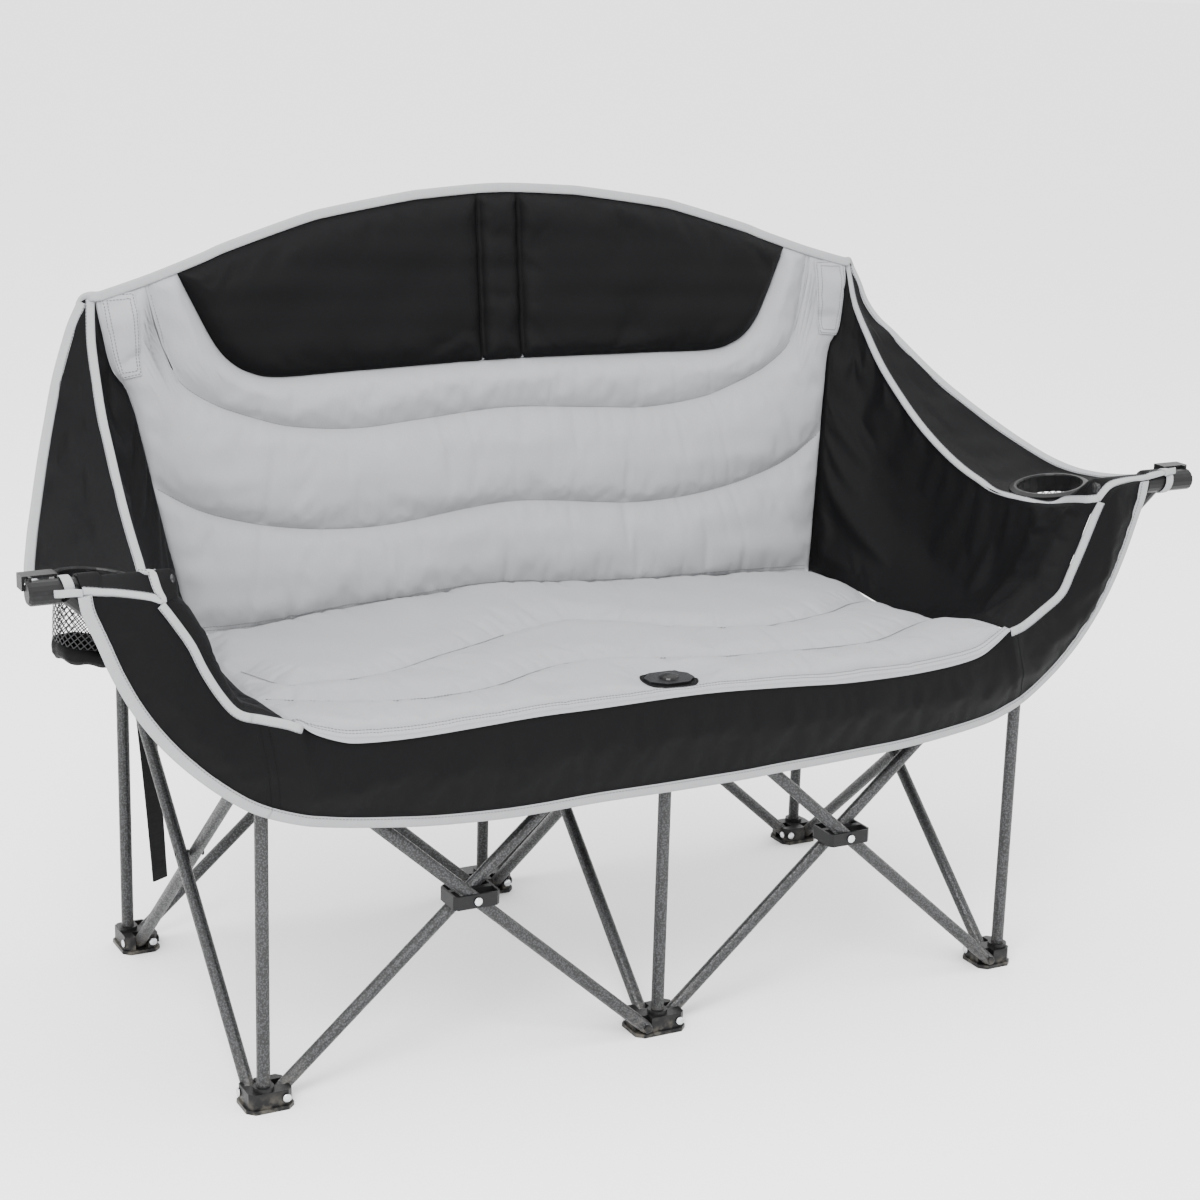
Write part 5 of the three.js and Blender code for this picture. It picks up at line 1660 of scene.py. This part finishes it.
    def side_grid(self) -> Array:
        """Side cloth: a Coons patch between the arm's edge, the seat, the back and the band, bulged outwards.

        It lies over the strut that runs up inside its front edge, and folds between its seams.
        """
        s = self.side.value
        columns, rows = 96, 60
        inner, knot = self.inner_edge()
        top = even(np.concatenate([inner, knot[1:]]), columns)
        band = self.band.inner_left if s < 0 else self.band.inner_right[::-1]
        front = smooth_line(np.asarray(band, float)[::-1] + (-1.0 * s, 3.0, 0), rows)
        front[-6:] = front[-6] + (top[-1] - front[-6]) * np.linspace(0, 1, 6)[:, None]
        z = np.linspace(0.449, 0.873, rows)
        rear = coords(s * (self.back.half(z) + 0.002), self.back.plane(z) + 0.003, z)
        rear[-4:] = rear[-4] + (top[0] - rear[-4]) * np.linspace(0, 1, 4)[:, None]
        v_line = np.linspace(1, 0, columns)
        bottom = np.stack(self.seat.place(v_line * 0 + s, v_line), axis=1) + (0.002 * s, 0, 0.001)
        bottom[0], bottom[-1] = rear[0], front[0]
        u, v = np.linspace(0, 1, columns)[None, :], np.linspace(0, 1, rows)[:, None]
        a, b = u[..., None], v[..., None]
        ruled = bottom[None] * (1 - b) + top[None] * b + rear[:, None] * (1 - a) + front[:, None] * a
        lower = bottom[0] * (1 - a) * (1 - b) + bottom[-1] * a * (1 - b)
        grid = ruled - (lower + top[0] * (1 - a) * b + top[-1] * a * b)
        normal = grid_normals(grid)
        normal *= s * np.sign(normal[..., :1].mean())
        bulge = 0.018 * step_up(u, 0.0, 0.35) * (1 - step_up(u, 0.45, 0.86)) * np.sin(math.pi * v) ** 0.8
        over_strut = step_up(u, 0.74, 0.88) * (1 - step_up(u, 0.94, 1.0)) * np.sin(math.pi * v) ** 0.6
        grid = grid + normal * (bulge - (0.006 if s < 0 else 0.017) * over_strut)[..., None]
        sewn = rim_of(grid, rows=3, columns=3) | (np.abs(u - 0.925) < 0.012)
        drape = Drape(pressure=0.03, slack=0.014, reach=0.012, stiffness=12, bending=4.0, weight=0.05)
        return drape.settle(f"side_{self.side.label}", grid, sewn)

    def sheet(self, name: str, grid: Array, mount: Mount, node: str = "") -> None:
        """Makes one sheet of black cloth, the arm's top with the ring's hole, in place of a CAD node."""
        label = self.side.label
        made = sheet_form(grid, ARM_CLOTH).piece(f"{name}_{label}", [self.finishes.black])
        if name == "arm_top":
            self.cut_for_ring(made)
        mount.fasten(made)
        if node:
            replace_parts(made, f"{node}_{label}")
        cloth_sheet(grid)

    def build(self) -> None:
        """Makes the arm cloth with its hole, the side cloth, bindings, loops, net pocket and stitching."""
        top, sleeve_row = self.top_grid()
        arm, sleeve = top[: sleeve_row + 1], top[sleeve_row:]
        self.sheet("arm_top", arm, self.corner, "arm_cloth")
        self.sheet("arm_sleeve", sleeve, self.strut)
        edge, inside = sleeve[:, -1], sleeve[:, -3]
        # The left sleeve's tape bows inwards
        if self.side is Side.LEFT:
            at = (1 - 0.33 * np.sin(np.linspace(0, math.pi, len(sleeve)))) * (sleeve.shape[1] - 1)
            edge, inside = self.across(sleeve, at), self.across(sleeve, at - 2)
        for name, *edges, width, mount in (
            ("outer", arm[:, 0], arm[:, 2], 0.0125, self.corner),
            ("inner", arm[:, -1], arm[:, -3], 0.0115, self.corner),
            ("sleeve_inner", edge, inside, 0.0105, self.strut),
            ("sleeve_front", sleeve[-1], sleeve[-4], 0.0095, self.strut),
        ):
            self.trim.sew(self.finishes, f"arm_{name}_{{}}_{self.side.label}", *edges, width, mount)
        self.sheet("side_panel", self.side_grid(), self.corner, "side_cloth")
        self.loops()
        self.bar_cap()
        self.net_pocket()

    @staticmethod
    def across(grid: Array, columns: Array) -> Array:
        """One point in each row of a grid, at a place between its columns."""
        whole = np.clip(columns.astype(int), 0, grid.shape[1] - 2)
        part = (columns - whole)[:, None]
        rows = np.arange(len(grid))
        return grid[rows, whole] * (1 - part) + grid[rows, whole + 1] * part

    def cut_for_ring(self, made: bpy.types.Object) -> None:
        """Cuts the hole for the cup ring with a tilted cylinder, and applies the cut."""
        centre, up, across = self.axis
        path = centre + np.array([[-0.06], [0.06]]) * up
        cylinder = sweep(path, same(across, 2), same((0, 1, 0), 2), oval(0.1, 0.1, 64, 1.0))
        cutter = cylinder.piece("ring_cutter", [self.finishes.black])
        cut = made.modifiers.new("ring", "BOOLEAN")
        cut.operation, cut.solver, cut.object = "DIFFERENCE", "EXACT", cutter
        mesh = bpy.data.meshes.new_from_object(made.evaluated_get(bpy.context.evaluated_depsgraph_get()))
        made.modifiers.clear()
        made.data = mesh
        bpy.data.objects.remove(cutter)

    def loops(self) -> None:
        """Pale flat tape that ties the cloth's corner to the moulded end, wound round its sleeve."""
        s = self.side.value
        turn = np.linspace(0, 2 * math.pi, 49)
        x = s * (0.7335 + 0.003 * np.sin(turn))
        radius = 0.0150 + 0.0012 * np.cos(turn - 2.4)
        out = unit(coords(x * 0, radius * np.cos(turn), radius * np.sin(turn)))
        path = coords(x, FRONT_ROW + radius * np.cos(turn), BAR_HEIGHT + radius * np.sin(turn))
        loop = sweep(path, same((1, 0, 0), len(turn)), out, oval(0.0115, 0.0022, 10))
        start = np.asarray((self.edge_left if s < 0 else self.edge_right)[0], float)
        steps = np.array([(0, 0, 0), (9 * s, 2, 1), (20 * s, 6, 0), (27 * s, 12, -1)])
        tail = smooth_line(start + steps, 24)
        upward = same((0, 0.2, 1), len(tail))
        out = unit(np.cross(unit(np.gradient(tail, axis=0)), upward))
        strip = sweep(tail, unit(upward), out, oval(0.0085, 0.0024, 10))
        name = f"arm_loop_{self.side.label}"
        self.strut.hang(name, Form.joined([loop, strip]), [self.finishes.tape], "grey_cloth")

    def bar_cap(self) -> None:
        """Moulded cap on the bar's inner end: a short plug with a rounded face."""
        x = np.array([0.6290, 0.6196, 0.6184, 0.6172, 0.6166]) * self.side.value
        radius = np.array([0.0085, 0.0085, 0.0081, 0.0062, 0.0020])
        path = coords(x, x * 0 + FRONT_ROW, x * 0 + BAR_HEIGHT)
        profile = oval(2.0, 2.0, 24, 1.0)[None] * radius[:, None, None]
        cap = sweep(path, same((0, 1, 0), len(x)), same(UP, len(x)), profile)
        self.strut.hang(f"bar_cap_{self.side.label}", cap, [self.finishes.moulding])

    def net_pocket(self) -> None:
        """Cup pocket: a net bag that hangs from the ring and ends in a solid hem and bottom.

        Its radius shrinks from the ring to the foot, with a slight belly and uneven folds round the hem.
        """
        bag = Bag(*self.axis)
        depth = np.linspace(-0.004, -0.073, 16)
        share = (-depth - 0.004) / 0.069
        radius = 0.0462 - 0.0045 * share + 0.0014 * np.sin(math.pi * share)
        radii = np.concatenate([radius, radius[::-1] - 0.0007])
        wall = bag.walls(np.concatenate([depth, depth[::-1]]), radii)
        hem = bag.walls(
            (-0.0710, -0.0780, -0.0850, -0.0898, -0.0885, -0.0780, -0.0710),
            (0.0420, 0.0422, 0.0405, 0.0360, 0.0350, 0.0392, 0.0408),
        )
        floor = bag.walls(
            (-0.0885, -0.0892, -0.0897, -0.0898, -0.0908, -0.0907, -0.0902, -0.0896),
            (0.0365, 0.0240, 0.0120, 0.0004, 0.0004, 0.0120, 0.0240, 0.0365),
        )
        label = self.side.label
        mount = Mount(f"cup_holder_{label}", Hold.RIGID)
        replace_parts(mount.hang(f"cup_net_{label}", wall, [self.finishes.net], "net"), f"cup_pocket_{label}")
        mount.hang(f"cup_hem_{label}", Form.joined([hem, floor]), [self.finishes.black], "black_cloth")


# Small parts


@dataclass
class Fittings:
    """Rivet heads on the feet and hubs, the storage strap, and the finishes of the CAD nodes that stay."""

    finishes: Finishes
    frame: dict
    head_out: float = 0.0018

    def build(self) -> None:
        """Dresses the frame nodes and adds rivet heads and the strap."""
        self.dress_nodes()
        self.rivets()
        self.strap()

    def dress_nodes(self) -> None:
        """Gives each CAD node that stays its finish, by the start of its name."""
        finishes = {
            ("foot", "seat_bracket", "hub", "arm_end", "cup_ring"): self.finishes.moulding,
            ("post", "scissor", "arm_bar"): self.finishes.paint,
            ("seat_fastener",): self.finishes.rubber,
            ("slider",): self.finishes.inner_tube,
            ("storage",): self.finishes.webbing,
        }
        for name, node in self.frame["nodes"].items():
            for starts, finish in finishes.items():
                if name.startswith(starts):
                    if not node.data.materials:
                        node.data.materials.append(None)
                    for holder in node.material_slots:
                        holder.link = "OBJECT"
                        holder.material = finish
        LOG.info("dressed %d frame nodes", len(self.frame["nodes"]))

    def rivets(self) -> None:
        """Domed steel heads over each moulded rivet head of the feet and hubs, one piece to a body."""
        far = RIVET_INSET + 0.008 + 0.0003
        mid = (LOW_RIVET + HIGH_RIVET) / 2
        hub = HUB_OFFSET + 0.0083 + 0.0028
        places: dict[str, list[tuple[Array, Array]]] = {}
        for column, x in (("left", -CELL), ("middle", 0.0), ("right", CELL)):
            arms = [sign for sign, end in ((-1, "left"), (1, "right")) if column != end]
            left, right = (far if sign in arms else HALF_FOOT for sign in (-1, 1))
            for row, y, inward in (("front", FRONT_ROW, 1), ("rear", REAR_ROW, -1)):
                if row == "front":
                    low, high = -0.015 if -1 in arms else -HALF_FOOT, far
                else:
                    low, high = -far, HUB_OFFSET + BOSS if 1 in arms else HALF_FOOT
                offset = -SIDE_OFFSET * inward
                heads = places[f"{row}_{column}_leg"] = []
                for sign in arms:
                    heads += self.pair((x + sign * RIVET_INSET, y, LOW_RIVET), (0, 1, 0), low, high)
                span = min(-left, offset - BOSS), max(right, offset + BOSS)
                heads += self.pair((x, y + inward * RIVET_INSET, LOW_RIVET), (1, 0, 0), *span)
        for row, y in (("front", FRONT_ROW), ("rear", REAR_ROW)):
            for side in Side:
                place = (side.value * CELL / 2, y, mid)
                places[f"{row}_{side.label}_hub"] = self.pair(place, (0, 1, 0), -hub, hub)
        for body, heads in places.items():
            form = Form.joined([self.head(place, way) for place, way in heads])
            Mount(body, Hold.RIGID).hang(f"rivets_{body}", form, [self.finishes.steel])

    def pair(self, place: tuple, along: tuple, low: float, high: float) -> list[tuple[Array, Array]]:
        """Places and directions of the two heads of one rivet, just outside low and high along its axis."""
        axis = np.array(along, float)
        ends = ((low - self.head_out, -1.0), (high + self.head_out, 1.0))
        return [(np.array(place) + axis * edge, axis * way) for edge, way in ends]

    @staticmethod
    def head(place: Array, way: Array) -> Form:
        """One rivet head: a low dome, its radius a quarter ellipse over its height."""
        rise = np.array([-0.0006, 0.0, 0.0007, 0.0012, 0.0015])
        radius = np.array([0.0053, 0.0053, 0.0045, 0.0030, 0.0010])
        path = place + rise[:, None] * way
        beside = unit(np.cross(way, [0.0, 0.0, 1.0]))
        up = np.cross(beside, way)
        profile = oval(2.0, 2.0, 12, 1.0)[None] * radius[:, None, None]
        return sweep(path, np.tile(beside, (5, 1)), np.tile(up, (5, 1)), profile)

    def strap(self) -> None:
        """Storage strap: flat webbing that hangs from the rear bracket in a slight curve to a folded hem."""
        low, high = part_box("storage_strap")
        x, y = (low.x + high.x) / 2, (low.y + high.y) / 2
        width = 0.027
        t = np.linspace(0, 1, 60)
        z = high.z + (0.100 - high.z) * t
        path = coords(x - 0.012 + 0.026 * t, y - 0.006 * np.sin(math.pi * t * 1.3) * t, z)
        across = unit(coords(np.cos(0.5 * t), np.sin(0.5 * t), 0 * t))
        out = unit(np.cross(np.gradient(path, axis=0), across))
        profile = np.stack([oval(width, thick, 12, 0.4) for thick in 0.0014 + 0.0014 * (t > 0.94)])
        form = sweep(path, across, out, profile)
        made = Mount("rear_left_bracket", Hold.RIGID).hang("strap", form, [self.finishes.webbing], "webbing")
        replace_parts(made, "storage_strap")


# The studio


@dataclass(frozen=True)
class Studio:
    """Pale floor, soft lights and the camera."""

    camera_place: tuple[float, float, float] = (-1.4429, -2.79235, 1.3629)
    right: tuple[float, float, float] = (0.88718, -0.46064, 0.02691)
    up: tuple[float, float, float] = (0.09958, 0.24808, 0.96361)
    forward: tuple[float, float, float] = (0.45055, 0.85221, -0.26597)
    lens: float = 76.17

    def build(self) -> None:
        """Makes all of it."""
        self.floor()
        self.sky()
        self.light("key", (-2.2, -2.6, 3.4), (0, 0, 0.5), 1.8, 270.0)
        self.light("fill", (3.2, -1.6, 2.2), (0, 0, 0.5), 3.0, 20.0)
        self.light("top", (0.0, 0.4, 4.2), (0, 0, 0.4), 4.0, 80.0)
        self.camera()

    def floor(self) -> None:
        """Round pale floor: rings of points whose radius grows with the square of their number."""
        turn = np.linspace(0, 2 * math.pi, 65)[:-1]
        radius = np.array([0.02, 1.0, 3.0, 9.0, 40.0])
        rings = np.stack(
            np.broadcast_arrays(
                radius[:, None] * np.cos(turn), radius[:, None] * np.sin(turn), np.zeros((len(radius), 1))
            ),
            axis=-1,
        )
        quads = quads_of(len(radius), len(turn), wraps=True)
        mesh = bpy.data.meshes.new("studio_floor")
        mesh.from_pydata(rings.reshape(-1, 3).tolist(), [], [*quads.tolist(), list(range(len(turn)))])
        mesh.update()
        floor = bpy.data.objects.new("studio_floor", mesh)
        bpy.context.scene.collection.objects.link(floor)
        made, n, shader = blank_material("pale_floor")
        noise = n.noise(n.in_object(), 3.0)
        colour = n.blend(noise, (0.93, 0.93, 0.93, 1), (0.95, 0.95, 0.95, 1))
        n.fill(shader, {"Base Color": colour, "Roughness": 0.9})
        mesh.materials.append(made)

    @staticmethod
    def sky() -> None:
        """Even white surroundings."""
        world = bpy.data.worlds.new("studio")
        world.use_nodes = True
        background = world.node_tree.nodes["Background"]
        background.inputs["Color"].default_value = (1.0, 1.0, 1.0, 1)
        background.inputs["Strength"].default_value = 2.6
        bpy.context.scene.world = world

    @staticmethod
    def light(name: str, place: tuple, aim: tuple, size: float, power: float) -> None:
        """One square area light that faces a point."""
        data = bpy.data.lights.new(name, "AREA")
        data.size, data.energy = size, power
        lamp = bpy.data.objects.new(name, data)
        lamp.location = place
        lamp.rotation_euler = (Vector(aim) - Vector(place)).to_track_quat("-Z", "Y").to_euler()
        bpy.context.scene.collection.objects.link(lamp)

    def camera(self) -> None:
        """Camera at the photograph's angle, from its three axes."""
        data = bpy.data.cameras.new("camera")
        data.lens, data.sensor_width, data.clip_end = self.lens, 36.0, 200.0
        made = bpy.data.objects.new("camera", data)
        axes = coords(self.right, self.up, -np.array(self.forward))
        made.matrix_world = Matrix.Translation(self.camera_place) @ Matrix(axes.tolist()).to_4x4()
        bpy.context.scene.collection.objects.link(made)
        bpy.context.scene.camera = made


def main() -> None:
    """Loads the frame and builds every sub-assembly in order."""
    logging.basicConfig(level=logging.INFO, format="%(name)s: %(message)s")
    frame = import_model()
    finishes = Finishes.made()
    Studio().build()
    Fittings(finishes, frame).build()
    back = BackRest(finishes)
    back.build()
    seat = Seat(finishes, back)
    seat.build()
    band = FrontBand(finishes, seat)
    band.build()
    for side in Side:
        Arm(finishes, side, back, band, seat).build()


if __name__ == "__main__":
    main()
